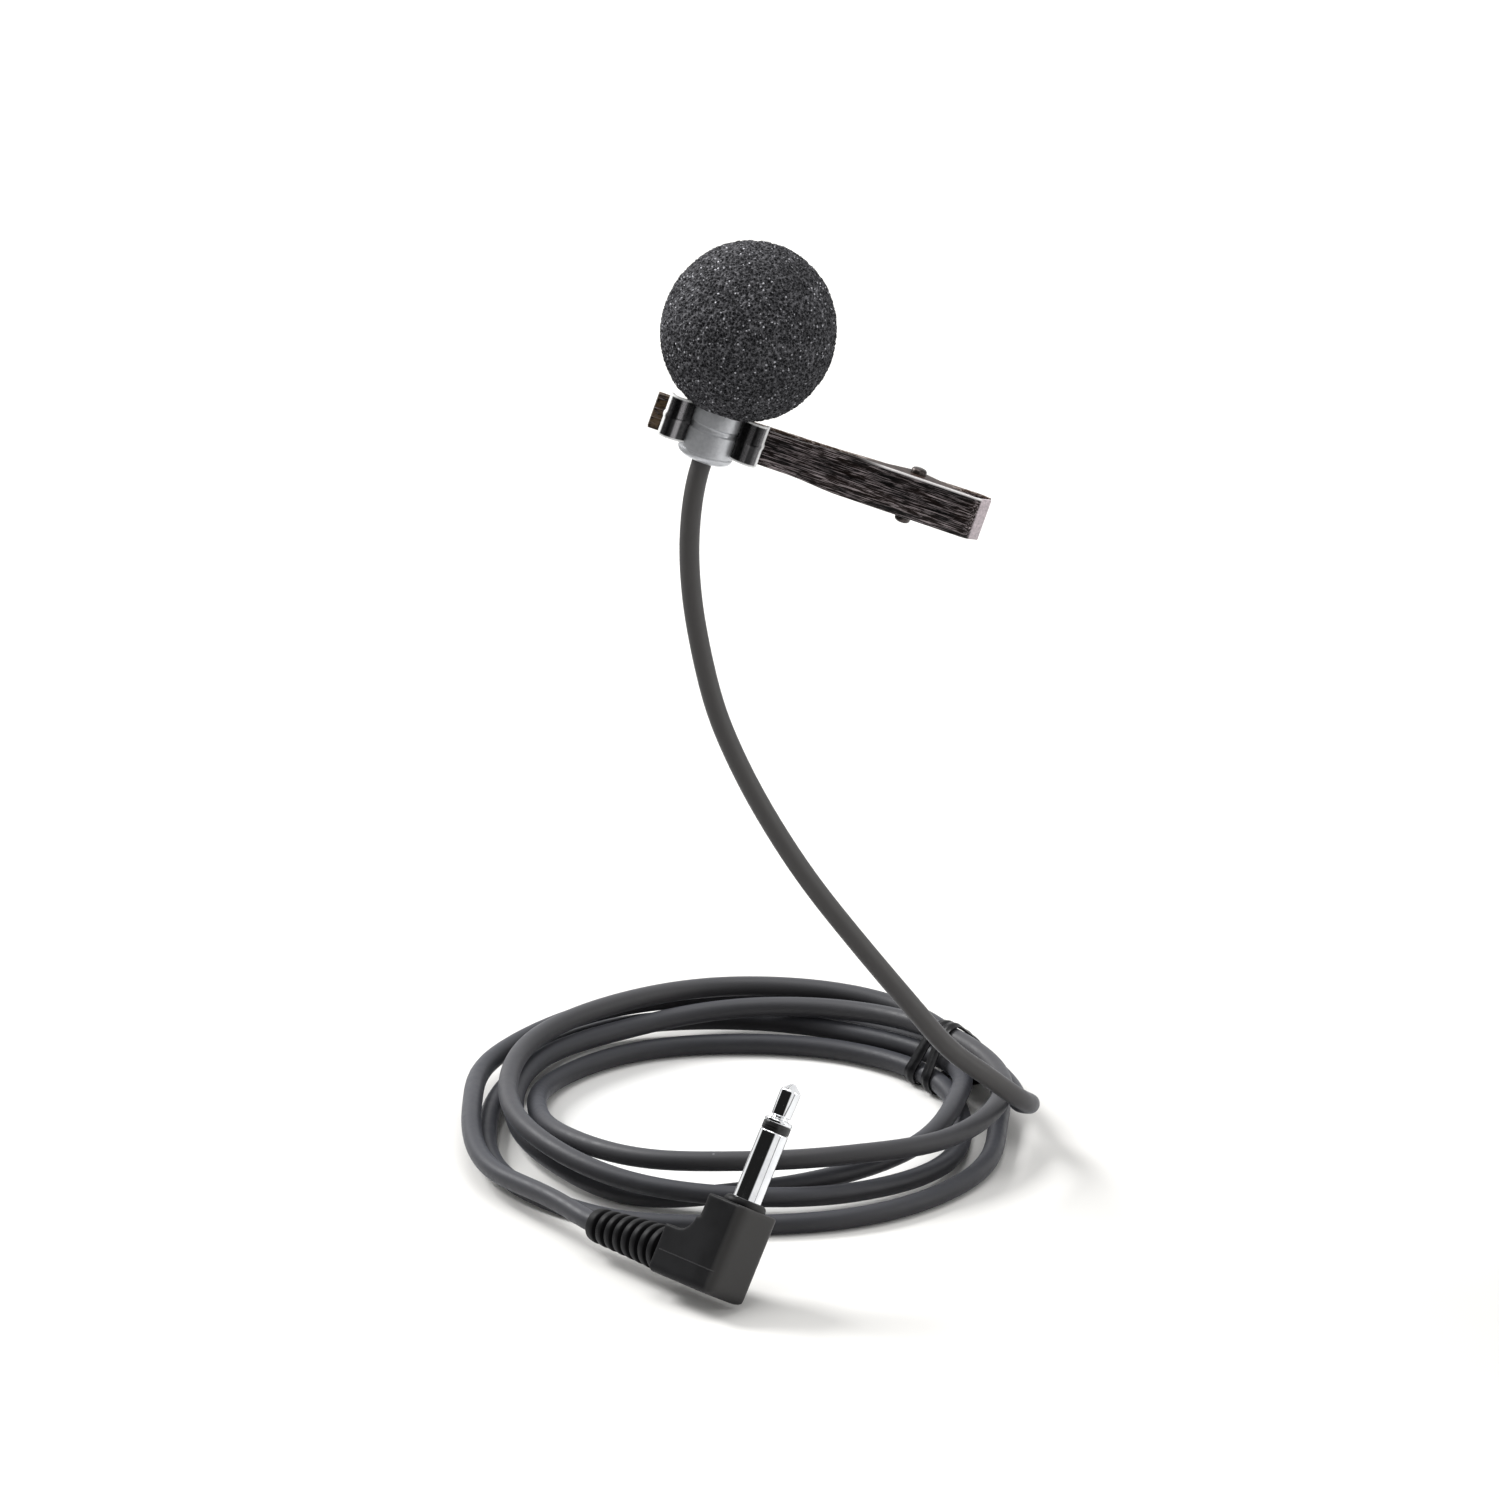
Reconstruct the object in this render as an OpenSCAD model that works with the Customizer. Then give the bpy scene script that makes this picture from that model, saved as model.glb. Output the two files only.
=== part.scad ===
// Lavalier microphone: foam windscreen, slim mic body, sprung garment clip,
// coiled cable held by a twist tie, and a right-angle 3.5 mm mini plug.
// Frame: +Z up, +Y to the rear, millimetres. The origin is the centre of the cable coil on
// the surface it rests on. The plug lies on the -Y side, the mic stands above.

/* [Cable] */
// Outer diameter of the cable jacket
cable_d = 2.4; // [2.0:0.1:2.6]
// Bore of the cable jacket
jacket_bore_d = 1.44; // [1.2:0.02:1.5]
// Diameter of the screened core inside the jacket
core_d = 1.22; // [0.9:0.02:1.22]
// Sides of the jacket cross-section
cable_sides = 10; // [8:1:12]
// Degrees of coil between two cross-sections
coil_step = 13; // [8:1:15]
// Half of the free gap at each flex point of the cable
flex_gap = 0.35; // [0.3:0.05:0.5]
// First turn from the riser: [radius, height] of the cable axis every 30 degrees
turn_1 = [
    [33.0, 4.0], [31.7, 4.2], [33.5, 5.3], [32.2, 6.0], [29.4, 6.5], [28.8, 6.1],
    [27.7, 5.3], [27.7, 5.1], [28.0, 4.1], [28.5, 3.6], [27.3, 2.2], [27.5, 1.5]
]; // [12 pairs, heights from 1.2]
// Second turn
turn_2 = [
    [26.3, 1.3], [26.5, 1.7], [26.3, 1.3], [25.7, 1.2], [26.3, 1.2], [26.0, 1.4],
    [24.2, 3.0], [24.2, 4.7], [24.2, 5.5], [24.3, 6.4], [26.0, 6.5], [29.4, 5.8]
]; // [12 pairs, heights from 1.2]
// Third turn
turn_3 = [
    [31.2, 6.0], [29.6, 6.2], [29.5, 5.3], [28.1, 4.8], [27.6, 3.8], [28.1, 3.6],
    [27.0, 2.7], [26.4, 2.3], [26.0, 1.3], [24.6, 2.6], [24.4, 3.5], [24.6, 3.9]
]; // [12 pairs, heights from 1.2]
// Fourth turn
turn_4 = [
    [25.6, 4.4], [29.0, 3.1], [28.6, 2.7], [30.5, 2.3], [33.0, 1.8], [30.6, 1.5],
    [30.1, 1.5], [32.3, 1.2], [33.0, 1.2], [31.5, 1.2], [32.2, 1.2], [31.9, 1.2]
]; // [12 pairs, heights from 1.2]
// Fifth turn, which runs out to the plug
turn_5 = [
    [30.6, 1.3], [33.6, 1.8], [32.0, 2.2], [33.8, 3.7], [32.6, 4.6],
    [33.5, 3.4], [32.0, 3.7], [34.8, 3.2], [39.2, 4.3], [56.6, 4.3]
]; // [10 pairs, heights from 1.2]
// Riser: [x, y, z] points on the cable axis from the coil up to the mic
riser_pts = [
    [34.4, -5.8, 6.2], [32.8, -10.4, 8.9], [28.9, -13.2, 13.0], [24.7, -14.6, 16.8],
    [20.6, -14.9, 21.9], [13.6, -13.6, 30.3], [8.0, -12.0, 37.3], [3.3, -10.5, 44.4],
    [-0.5, -9.0, 51.4], [-3.3, -7.6, 58.4], [-5.4, -6.2, 68.0], [-6.1, -5.3, 75.6],
    [-5.8, -4.75, 81.8]
]; // [13 points]

/* [Twist tie] */
// Angle round the coil where the tie sits
tie_angle = 33; // [28:1:38]
// Thickness of the tie strip
tie_t = 0.4; // [0.4:0.1:0.8]
// Width of one wrap of the tie
tie_w = 1.8; // [1.5:0.1:2.4]

/* [Mic] */
// Outer diameter of the mic housing
mic_d = 6.7; // [6.5:0.1:7]
// Height of the housing's top above the cable exit
mic_len = 12.2; // [11:0.1:14]
// Lean of the mic to the right, degrees
lean_side = 19.5; // [10:0.1:25]
// Lean of the mic to the rear, degrees
lean_back = 8; // [4:0.1:12]
// Place of the cable exit of the mic
mic_base = [-4.5, -4.0, 87.6]; // [x, y, z]
// Diameter of the foam windscreen
foam_d = 21.1; // [20:0.1:24]
// Height of the foam's centre above the cable exit
foam_z = 16.4; // [16:0.1:17.5]
// Running clearance between the foam's bore and the housing
foam_gap = 0.06; // [0.03:0.01:0.1]

/* [Clip] */
// Turn of the clip about the mic, degrees
clip_turn = -2.5; // [-10:0.5:10]
// Length from the jaw tip to the mic axis
jaw_len = 7.1; // [6:0.1:8]
// Length from the mic axis to the thumb end
tail_len = 34.4; // [32:0.1:35]
// Place of the pivot along the clip
pivot_x = 25.2; // [24:0.1:26]
// Depth of the pivot behind the mic axis
pivot_y = 7.0; // [6.8:0.1:7.2]
// Width of the jaw part of the arms
jaw_w = 4.3; // [4:0.1:4.6]
// Width of the front arm at the pivot
ear_w = 5.1; // [5:0.1:5.4]
// Sheet thickness of the arms
sheet_t = 0.45; // [0.4:0.05:0.5]
// Diameter of the pivot pin
pin_d = 1.5; // [1.3:0.1:1.6]
// Height of the mic holder strip
holder_h = 5.2; // [4.8:0.1:5.4]
// Thickness of the mic holder strip
holder_t = 0.55; // [0.5:0.05:0.6]

/* [Plug] */
// Diameter of the plug barrel
barrel_d = 3.5; // [3.5]
// Length of the barrel above its black rim
barrel_len = 8.6; // [8:0.1:9.6]
// Width of the square pin end of the overmould
elbow_w = 6.3; // [6:0.1:7]
// Height of the overmould along the pin
elbow_h = 11.1; // [10.5:0.1:12]
// Distance from the pin axis to the start of the ribbed boot
leg_len = 7.5; // [7:0.1:8.5]
// Length of the ribbed boot
boot_len = 14; // [12:0.5:15]
// Ribs on the boot
boot_ribs = 8; // [6:1:8]
// Heading of the plug on the table, from the cable to the pin, degrees
plug_turn = -48; // [-55:0.1:-45]
// Roll of the plug about its cable, degrees
plug_roll = -30.4; // [-35:0.1:-25]

/* [Hidden] */
$fn = 64;
small_fn = 24;                  // sides of small round details

jacket_color = [0.16, 0.16, 0.17];
core_color = [0.72, 0.45, 0.28];
lead_color = [0.75, 0.12, 0.10];
solder_color = [0.75, 0.76, 0.78];
contact_color = [0.83, 0.84, 0.86];
lug_color = [0.80, 0.68, 0.40];

z_up = [0, 0, 1];
y_up = [0, 1, 0];
cable_hole_r = cable_d / 2 + 0.01;
lead_r = 0.3;

// ---- curves ----------------------------------------------------------
function unit(v) = v / norm(v);
function catmull_rom(before, from, to, after, t) =
    0.5 * (2 * from + (to - before) * t
        + (2 * before - 5 * from + 4 * to - after) * t * t
        + (3 * from - before - 3 * to + after) * t * t * t);
// Point at station u of a curve through the points, which sit at whole stations
function spline(points, u) =
    let (last = len(points) - 1, i = min(floor(u), last - 1))
    catmull_rom(
        i == 0 ? 2 * points[0] - points[1] : points[i - 1],
        points[i],
        points[i + 1],
        i + 2 > last ? 2 * points[last] - points[last - 1] : points[i + 2],
        u - i);
function tangent(path, i) = unit(path[min(i + 1, len(path) - 1)] - path[max(i - 1, 0)]);
// One cross-section; its first corner lies square to both the path and up
function ring(centre, along, up, r, sides) =
    let (side = unit(cross(along, up)), over = cross(side, along))
    [for (k = [0 : sides - 1])
        centre + r * (cos(360 * k / sides) * side + sin(360 * k / sides) * over)];
function rings(path, up, r, sides) =
    [for (i = [0 : len(path) - 1]) each ring(path[i], tangent(path, i), up, r, sides)];

// Triangles between two rings, given the index of each ring's first corner
function band(from, to, sides) =
    [for (k = [0 : sides - 1]) let (next = (k + 1) % sides) each
        [[from + k, to + k, to + next], [from + k, to + next, from + next]]];
// Triangles along a run of rings
function skin(first, count, sides) =
    [for (i = [0 : count - 2]) each
        band(first + i * sides, first + (i + 1) * sides, sides)];
function flipped(faces) = [for (face = faces) [face[2], face[1], face[0]]];

// Solid rod along a path
module rod(path, up, r, sides) {
    last = (len(path) - 1) * sides;
    polyhedron(
        points = rings(path, up, r, sides),
        faces = concat(
            [[for (k = [0 : sides - 1]) k]],
            skin(0, len(path), sides),
            [[for (k = [sides - 1 : -1 : 0]) last + k]]));
}
// Tube along a path
module tube(path, up, outer_r, inner_r, sides) {
    last = (len(path) - 1) * sides;
    inner = len(path) * sides;
    polyhedron(
        points = concat(rings(path, up, outer_r, sides), rings(path, up, inner_r, sides)),
        faces = concat(
            skin(0, len(path), sides),
            flipped(skin(inner, len(path), sides)),
            flipped(band(0, inner, sides)),
            band(last, inner + last, sides)));
}

// ---- cable route -----------------------------------------------------
station_deg = 30;               // coil angle between two stations
turn_stations = 12;
turns = concat(turn_1, turn_2, turn_3, turn_4, turn_5);
coil_end = 56.13;               // stations from the riser to the plug's flex point
start_station_len = 18;         // cable length per station at the riser end
end_station_len = 20;           // and at the plug end
// Cable axis of the coil at station u
function coil_point(u) =
    let (place = spline(turns, u), angle = station_deg * u)
    [place[0] * cos(angle), place[0] * sin(angle), place[1]];
coil_path = concat(
    [coil_point(flex_gap / start_station_len)],
    [for (a = [coil_step : coil_step : station_deg * coil_end - coil_step / 2])
        coil_point(a / station_deg)],
    [coil_point(coil_end - flex_gap / end_station_len)]);

mic_dir = [cos(lean_back) * sin(lean_side), sin(lean_back), cos(lean_back) * cos(lean_side)];
mic_hinge = mic_base - 1.6 * mic_dir;   // flex point below the mic
riser_knots = concat([coil_point(0)], riser_pts, [mic_hinge]);
riser_start = 0.06;             // first station, which leaves the gap to the coil
riser_step = 0.5;
riser_path = concat(
    [spline(riser_knots, riser_start)],
    [for (u = [riser_step : riser_step : len(riser_knots) - 1 - 0.4]) spline(riser_knots, u)],
    [mic_hinge - flex_gap * mic_dir]);

// ---- frames ----------------------------------------------------------
// Mic frame: z along the mic from the cable exit
module mic_lean() rotate([-lean_back, lean_side, 0]) children();
module mic_frame() translate(mic_base) mic_lean() children();
// Clip frame: the mic frame turned so that x runs from the jaw to the tail, y to the rear
module clip_frame() mic_frame() rotate([0, 0, clip_turn]) children();

// Plug frame: z along the pin from the overmould's top, -x towards the cable
plug_x_dir = [cos(plug_turn), sin(plug_turn), 0];
plug_z_dir = [sin(plug_roll) * sin(plug_turn), -sin(plug_roll) * cos(plug_turn), cos(plug_roll)];
boot_depth = 8.2;               // depth of the boot's axis below the overmould's top
hinge_to_boot = 1.3;
plug_hinge = coil_point(coil_end);
plug_origin = plug_hinge + (hinge_to_boot + boot_len + leg_len) * plug_x_dir
    + boot_depth * plug_z_dir;
module plug_lean() rotate([plug_roll, 0, plug_turn]) children();
module plug_frame() translate(plug_origin) plug_lean() children();

// Frames at the two flex points, z along the cable into the mic and into the plug
module mic_hinge_frame() translate(mic_hinge) mic_lean() children();
module plug_hinge_frame() translate(plug_hinge) plug_lean() rotate([0, 90, 0]) children();

// ---- cable -----------------------------------------------------------
module jacket_along(path, up)
    color(jacket_color) tube(path, up, cable_d / 2, jacket_bore_d / 2, cable_sides);
module core_along(path, up) color(core_color) rod(path, up, core_d / 2, 6);
// Straight lengths measured from a flex point
module jacket_stub(length, bore_len) color(jacket_color) difference() {
    translate([0, 0, flex_gap]) cylinder(r = cable_d / 2, h = length - flex_gap);
    cylinder(r = jacket_bore_d / 2, h = bore_len);
}
module core_stub(length) color(core_color)
    translate([0, 0, flex_gap]) cylinder(r = core_d / 2, h = length - flex_gap);

module cable_jacket_coil() jacket_along(coil_path, z_up);
module cable_core_coil() core_along(coil_path, z_up);
module cable_jacket_riser() jacket_along(riser_path, y_up);
module cable_core_riser() core_along(riser_path, y_up);
module cable_jacket_mic() mic_hinge_frame() jacket_stub(4.2, 6);
module cable_core_mic() mic_hinge_frame() core_stub(5.2);
module cable_jacket_plug() plug_hinge_frame() jacket_stub(boot_len + 3.5, boot_len + 4);
module cable_core_plug() plug_hinge_frame() core_stub(boot_len + 4.6);

// ---- twist tie -------------------------------------------------------
tie_gap = 0.18;                 // clearance between the strands and the tie
wrap_offset = 2.6;              // degrees from the tie's middle to each wrap
// [radius, height] of the five strands at an angle round the coil
function strands(angle) =
    [for (k = [0 : 4]) spline(turns, angle / station_deg + turn_stations * k)];
strand_radii = [for (place = strands(tie_angle)) place[0]];
tie_x = max(strand_radii) + cable_d / 2 + tie_gap + tie_t / 2 + 0.25;
module strands_hull(angle, r)
    hull() for (place = strands(angle)) translate(place) circle(r = r, $fn = small_fn);
// One flat wrap drawn tight round the strands, in a plane across the cable
module tie_wrap(angle) rotate([0, 0, angle]) rotate([90, 0, 0]) difference() {
    linear_extrude(height = tie_w, center = true)
        strands_hull(angle, cable_d / 2 + tie_gap + tie_t);
    linear_extrude(height = tie_w + 1, center = true)
        strands_hull(angle, cable_d / 2 + tie_gap);
}
module cable_tie() color([0.07, 0.07, 0.08]) {
    for (side = [-1, 1]) tie_wrap(tie_angle + side * wrap_offset);
    // twist joining the wraps, and the two ends lying along the outer side
    rotate([0, 0, tie_angle]) translate([tie_x, 0, 1.9]) {
        cube([0.7, 3.4, 1.3], center = true);
        translate([-0.35, 0.6, -0.9]) cube([0.4, 7.4, 1.0]);
        translate([0.05, 0.6, -0.6]) rotate([0, 0, -3]) cube([0.4, 6.8, 1.0]);
    }
}

// ---- mic body --------------------------------------------------------
mic_r = mic_d / 2;
mic_bore_r = mic_r - 0.55;
insert_r = mic_bore_r - 0.02;   // parts that slide into the housing
holder_z = 4.1;                 // height of the holder's middle on the mic
groove_r = mic_r - 0.28;        // root of the groove that the holder's bead runs in

// [radius, z] outlines
housing_outline = [
    [0, 1.0], [mic_r, 1.0],
    [mic_r, holder_z - 0.4], [groove_r, holder_z - 0.25],
    [groove_r, holder_z + 0.25], [mic_r, holder_z + 0.4],
    [mic_r, 6.9], [mic_r - 0.12, 7.0], [mic_r - 0.12, 7.2], [mic_r, 7.3],
    [mic_r, mic_len], [0, mic_len]
];
rear_cap_outline = [
    [0, 0], [mic_r - 0.75, 0], [mic_r - 0.15, 0.35], [mic_r, 0.7],
    [mic_r, 0.98], [insert_r, 0.98], [insert_r, 2.4], [0, 2.4]
];
grille_outline = [
    [0, mic_len + 0.02], [mic_r, mic_len + 0.02], [mic_r, mic_len + 0.9],
    [mic_r - 0.5, mic_len + 1.4], [0, mic_len + 1.4]
];

module mic_housing() color([0.62, 0.63, 0.66]) mic_frame() difference() {
    rotate_extrude() polygon(housing_outline);
    translate([0, 0, 0.5]) cylinder(r = mic_bore_r, h = mic_len);
}
module mic_rear_cap() color([0.60, 0.61, 0.64]) mic_frame() difference() {
    rotate_extrude() polygon(rear_cap_outline);
    translate([0, 0, -1]) cylinder(r = cable_hole_r, h = 5);
    translate([0, 0, 1.2]) cylinder(r = mic_r - 1.1, h = 3);
}
// Cap with one hole in the middle and six round it
module mic_grille() color([0.20, 0.20, 0.21]) mic_frame() difference() {
    rotate_extrude() polygon(grille_outline);
    translate([0, 0, mic_len - 1]) cylinder(r = mic_r - 0.7, h = 1.95);
    for (k = [0 : 5]) rotate([0, 0, 60 * k])
        translate([1.7, 0, mic_len]) cylinder(r = 0.35, h = 3, $fn = small_fn);
    translate([0, 0, mic_len]) cylinder(r = 0.4, h = 3, $fn = small_fn);
}
// Ball bored for the housing and cut flat just above the holder
module foam_windscreen() color([0.20, 0.20, 0.22]) mic_frame() difference() {
    translate([0, 0, foam_z]) sphere(r = foam_d / 2, $fn = 96);
    translate([0, 0, -2]) cylinder(r = 12, h = 2 + holder_z + holder_h / 2 + 0.1);
    cylinder(r = mic_r + foam_gap, h = mic_len + 1.6);
}

// ---- capsule ---------------------------------------------------------
capsule_z = 8.9;                // underside of the capsule
can_r = 2.5;
can_h = 2.7;
inside_r = 2.25;                // parts that fit inside the can
board_h = 0.5;
on_board_z = board_h + 0.05;    // underside of the parts above the board
pad_x = 1.1;                    // solder joints either side of the axis
solder_drop = 0.42;             // reach of the solder below the board
lead_z = 2.75;                  // lower end of the leads

module capsule_frame(z = 0) mic_frame() translate([0, 0, capsule_z + z]) children();
module washer(outer_r, inner_r, height, bore_len = 3) difference() {
    cylinder(r = outer_r, h = height);
    translate([0, 0, -1]) cylinder(r = inner_r, h = bore_len);
}

module capsule_can() color([0.78, 0.79, 0.80]) capsule_frame() difference() {
    cylinder(r = can_r, h = can_h);
    translate([0, 0, -1]) cylinder(r = can_r - 0.2, h = 3.5);
    cylinder(r = 0.6, h = 4);
}
module capsule_felt() color([0.12, 0.12, 0.12])
    capsule_frame(can_h + 0.02) cylinder(r = 2.4, h = 0.3);
module capsule_diaphragm() color([0.85, 0.78, 0.45]) capsule_frame(2.3) difference() {
    cylinder(r = inside_r, h = 0.18);
    translate([0, 0, 0.05]) cylinder(r = 1.8, h = 1);
}
module capsule_spacer() color([0.85, 0.85, 0.82])
    capsule_frame(2.2) washer(inside_r, 1.85, 0.08);
module capsule_backplate() color([0.80, 0.66, 0.36]) capsule_frame(1.9) difference() {
    cylinder(r = 2.2, h = 0.28);
    for (k = [0 : 3]) rotate([0, 0, 90 * k])
        translate([1.1, 0, -1]) cylinder(r = 0.2, h = 3, $fn = small_fn);
}
module capsule_ring() color([0.92, 0.92, 0.90])
    capsule_frame(on_board_z) washer(inside_r, 1.75, 1.33);
module capsule_transistor() color([0.08, 0.08, 0.08])
    capsule_frame(on_board_z) translate([-0.8, -0.6, 0]) cube([1.6, 1.2, 0.8]);
module capsule_board() color([0.12, 0.42, 0.24])
    capsule_frame() cylinder(r = inside_r, h = board_h);
module capsule_gasket() color([0.10, 0.10, 0.10])
    capsule_frame(0.3) washer(insert_r, can_r + 0.02, 1.8, bore_len = 4);
module capsule_solder() color(solder_color) capsule_frame(-solder_drop)
    for (side = [-1, 1]) translate([pad_x * side, 0, 0])
        cylinder(r1 = 0.35, r2 = 0.55, h = 0.4, $fn = small_fn);
module mic_leads() color(lead_color) mic_frame()
    for (side = [-1, 1]) translate([pad_x * side, 0, lead_z])
        cylinder(r = lead_r, h = capsule_z - solder_drop - 0.02 - lead_z, $fn = small_fn);
module cable_ferrule() color([0.80, 0.80, 0.80]) mic_frame()
    translate([0, 0, 1.3]) washer(1.7, cable_hole_r, 1.2, bore_len = 4);

// ---- mic holder, in the clip frame -------------------------------------
web_y = 4.3;                    // front face of the front arm
web_back_y = web_y + sheet_t;
rivet_z = 3.3;                  // height of the rivet on the mic
holder_bore_r = mic_r + 0.07;
mouth_turn = -2.5;              // turn of the holder's opening, degrees
pad_w = 4.2;                    // block between the strip and the front arm
pad_y = 3.2;
// [x, y] plan of the opening cut through the front of the strip
mouth_plan = [[0, 0], [-4.6, -3.4], [-4.6, -9], [4.6, -9], [4.6, -3.4]];
// [x, y] plan of the curled end on the +x side
curl_plan = [
    [2.70, -2.10], [3.18, -2.42], [3.75, -2.75], [4.6, -3.0],
    [5.35, -2.9], [5.95, -2.45], [6.2, -1.95], [6.2, -1.55],
    [5.7, -1.55], [5.7, -1.85], [5.5, -2.2], [5.1, -2.45],
    [4.6, -2.5], [3.95, -2.3], [3.45, -1.9], [3.1, -1.95]
];
// [radius, z] section of the bead about the holder's middle
bead_outline = [
    [groove_r + 0.06, -0.12], [mic_r + 0.3, -0.22],
    [mic_r + 0.3, 0.22], [groove_r + 0.06, 0.12]
];

module rivet_frame() translate([0, 0, rivet_z]) rotate([-90, 0, 0]) children();
module rivet_hole() rivet_frame() cylinder(r = 0.62, h = 9);
module holder_plan() {
    difference() {
        union() {
            circle(r = holder_bore_r + holder_t);
            translate([-pad_w / 2, pad_y]) square([pad_w, web_y - pad_y - 0.01]);
        }
        circle(r = holder_bore_r);
        rotate([0, 0, mouth_turn]) polygon(mouth_plan);
    }
    // the open ends curl outwards, so the strip can be spread over the mic
    rotate([0, 0, mouth_turn]) for (side = [1, -1])
        polygon([for (point = curl_plan) [side * point[0], point[1]]]);
}
module mic_holder() color([0.10, 0.10, 0.11]) clip_frame() difference() {
    union() {
        translate([0, 0, holder_z - holder_h / 2])
            linear_extrude(height = holder_h) holder_plan();
        // inward bead that runs in the housing's groove
        translate([0, 0, holder_z]) rotate([0, 0, -20])
            rotate_extrude(angle = 220) polygon(bead_outline);
    }
    rivet_hole();
}
module holder_rivet() color([0.30, 0.28, 0.27]) clip_frame() rivet_frame() {
    translate([0, 0, mic_r + 0.12]) cylinder(r = 0.6, h = 1.5);
    translate([0, 0, web_back_y + 0.01]) cylinder(r = 1.1, h = 0.4);
}

// ---- clip arms, in the clip frame --------------------------------------
arm_z = 2.7;                    // height of the arms' middle line on the mic
rear_ear_w = 4.1;               // width of the rear arm at the pivot
taper_x = [10, 17];             // start and end of the change from jaw to tail width
tooth_count = 3;
tooth_pitch = 0.75;
// [x, y] line of each arm's front face, from the jaw to the tail
front_line = [[-jaw_len, web_y], [tail_len - 1.5, web_y], [tail_len, web_y + 1.5]];
rear_line = [
    [-jaw_len, web_back_y + 0.45], [-jaw_len + 2.4, web_back_y + 0.45],
    [-2.5, 5.75], [12, 6.9], [20, 8.6], [tail_len - 1.2, 9.5], [tail_len, 9.0]
];
// [x, y] plan of the side plates between each arm's web and the pivot
front_ear_plan = [
    [16.4, web_y + 0.1], [32, web_y + 0.1], [30.4, 5.6],
    [26.5, 7.4], [23.9, 7.4], [19.4, 5.4]
];
rear_ear_plan = [[16.4, 7.9], [21, 8.8], [32, 9.5], [29.9, 8.2], [26.6, 6.6], [23.8, 6.6]];

// Outline of an arm seen from the front: [x, z] about the middle line
module arm_face(tail_w) polygon([
    [-jaw_len, -jaw_w / 2], [taper_x[0], -jaw_w / 2],
    [taper_x[1], -tail_w / 2], [tail_len + 1, -tail_w / 2],
    [tail_len + 1, tail_w / 2], [taper_x[1], tail_w / 2],
    [taper_x[0], jaw_w / 2], [-jaw_len, jaw_w / 2]
]);
// Sheet that follows a line in plan, cut to the arm's outline
module arm_strip(line, tail_w) intersection() {
    translate([0, 0, arm_z - 4]) linear_extrude(height = 8)
        polygon(concat(line, [for (i = [len(line) - 1 : -1 : 0]) line[i] + [0, sheet_t]]));
    translate([0, -1, arm_z]) rotate([-90, 0, 0])
        linear_extrude(height = 16) mirror([0, 1]) arm_face(tail_w);
}
// Pair of side plates with pivot holes, width measured over both
module ears(width, plan) for (side = [-1, 1])
    translate([0, 0, arm_z + side * (width / 2 - sheet_t / 2)]) difference() {
        union() {
            linear_extrude(height = sheet_t, center = true) polygon(plan);
            translate([pivot_x, pivot_y, 0]) cylinder(r = 1.45, h = sheet_t, center = true);
        }
        translate([pivot_x, pivot_y, 0]) cylinder(r = pin_d / 2 + 0.05, h = 2, center = true);
    }
// Ridges on the rear arm's jaw, pointing to the front arm
module teeth() for (k = [0 : tooth_count - 1])
    translate([-jaw_len + 0.05 + tooth_pitch * k, web_back_y + 0.47, arm_z - jaw_w / 2])
        linear_extrude(height = jaw_w) polygon([[0, 0], [0.7, 0], [0.35, -0.38]]);

module clip_front_arm() color([0.22, 0.17, 0.16]) clip_frame() difference() {
    union() {
        arm_strip(front_line, ear_w);
        ears(ear_w, front_ear_plan);
    }
    rivet_hole();
}
module clip_rear_arm() color([0.20, 0.16, 0.15]) clip_frame() {
    arm_strip(rear_line, rear_ear_w);
    ears(rear_ear_w, rear_ear_plan);
    teeth();
}

pin_head_r = 0.95;
pin_head_gap = 0.02;
upper_head_h = 0.7;
lower_head_h = 1.1;
module clip_pivot_pin() color([0.35, 0.33, 0.32]) clip_frame()
    translate([pivot_x, pivot_y, arm_z]) {
        cylinder(r = pin_d / 2, h = ear_w + 0.1, center = true);
        translate([0, 0, ear_w / 2 + pin_head_gap]) cylinder(r = pin_head_r, h = upper_head_h);
        translate([0, 0, -ear_w / 2 - pin_head_gap - lower_head_h])
            cylinder(r = pin_head_r, h = lower_head_h);
    }

// Torsion spring: two legs and two and a half turns round the pin
spring_r = 1.3;
spring_rise = 0.62;             // height of each leg from the arms' middle line
spring_sweep = 900;
spring_top = arm_z + spring_rise;
spring_bottom = arm_z - spring_rise;
spring_path = concat(
    [[pivot_x + 6.6, web_back_y + 0.28, spring_top],
     [pivot_x + 2.4, pivot_y - spring_r - 0.16, spring_top]],
    [for (a = [0 : 30 : spring_sweep])
        [pivot_x + spring_r * cos(-90 - a), pivot_y + spring_r * sin(-90 - a),
         spring_top - 2 * spring_rise * a / spring_sweep]],
    [[pivot_x + 2.4, pivot_y + spring_r + 0.06, spring_bottom],
     [pivot_x + 6.2, pivot_y + spring_r + 0.42, spring_bottom]]);
module clip_spring() color([0.70, 0.71, 0.73]) clip_frame() rod(spring_path, z_up, 0.2, 6);

// ---- plug overmould, in the plug frame ---------------------------------
rib_pitch = 1.6;
collar_h = 0.9;                 // raised black rim round the foot of the pin
foot_r = 1.0;                   // rounding of the overmould's long lower edges
toe_r = 1.6;                    // rounding of its toe under the pin
back_x = 0.4;                   // extra depth of the upright on the cable side
elbow_r = elbow_w / 2;
upright_x = -elbow_r - back_x;  // cable side of the upright

module rounded_square(width, depth, r) {
    square([width - 2 * r, depth], center = true);
    square([width, depth - 2 * r], center = true);
    for (x = [-1, 1], y = [-1, 1])
        translate([x * (width / 2 - r), y * (depth / 2 - r)]) circle(r = r);
}
// Radius of the tapered boot at a distance from its thick end
function boot_r(x) = 2.75 - 0.95 * x / boot_len;
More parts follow.
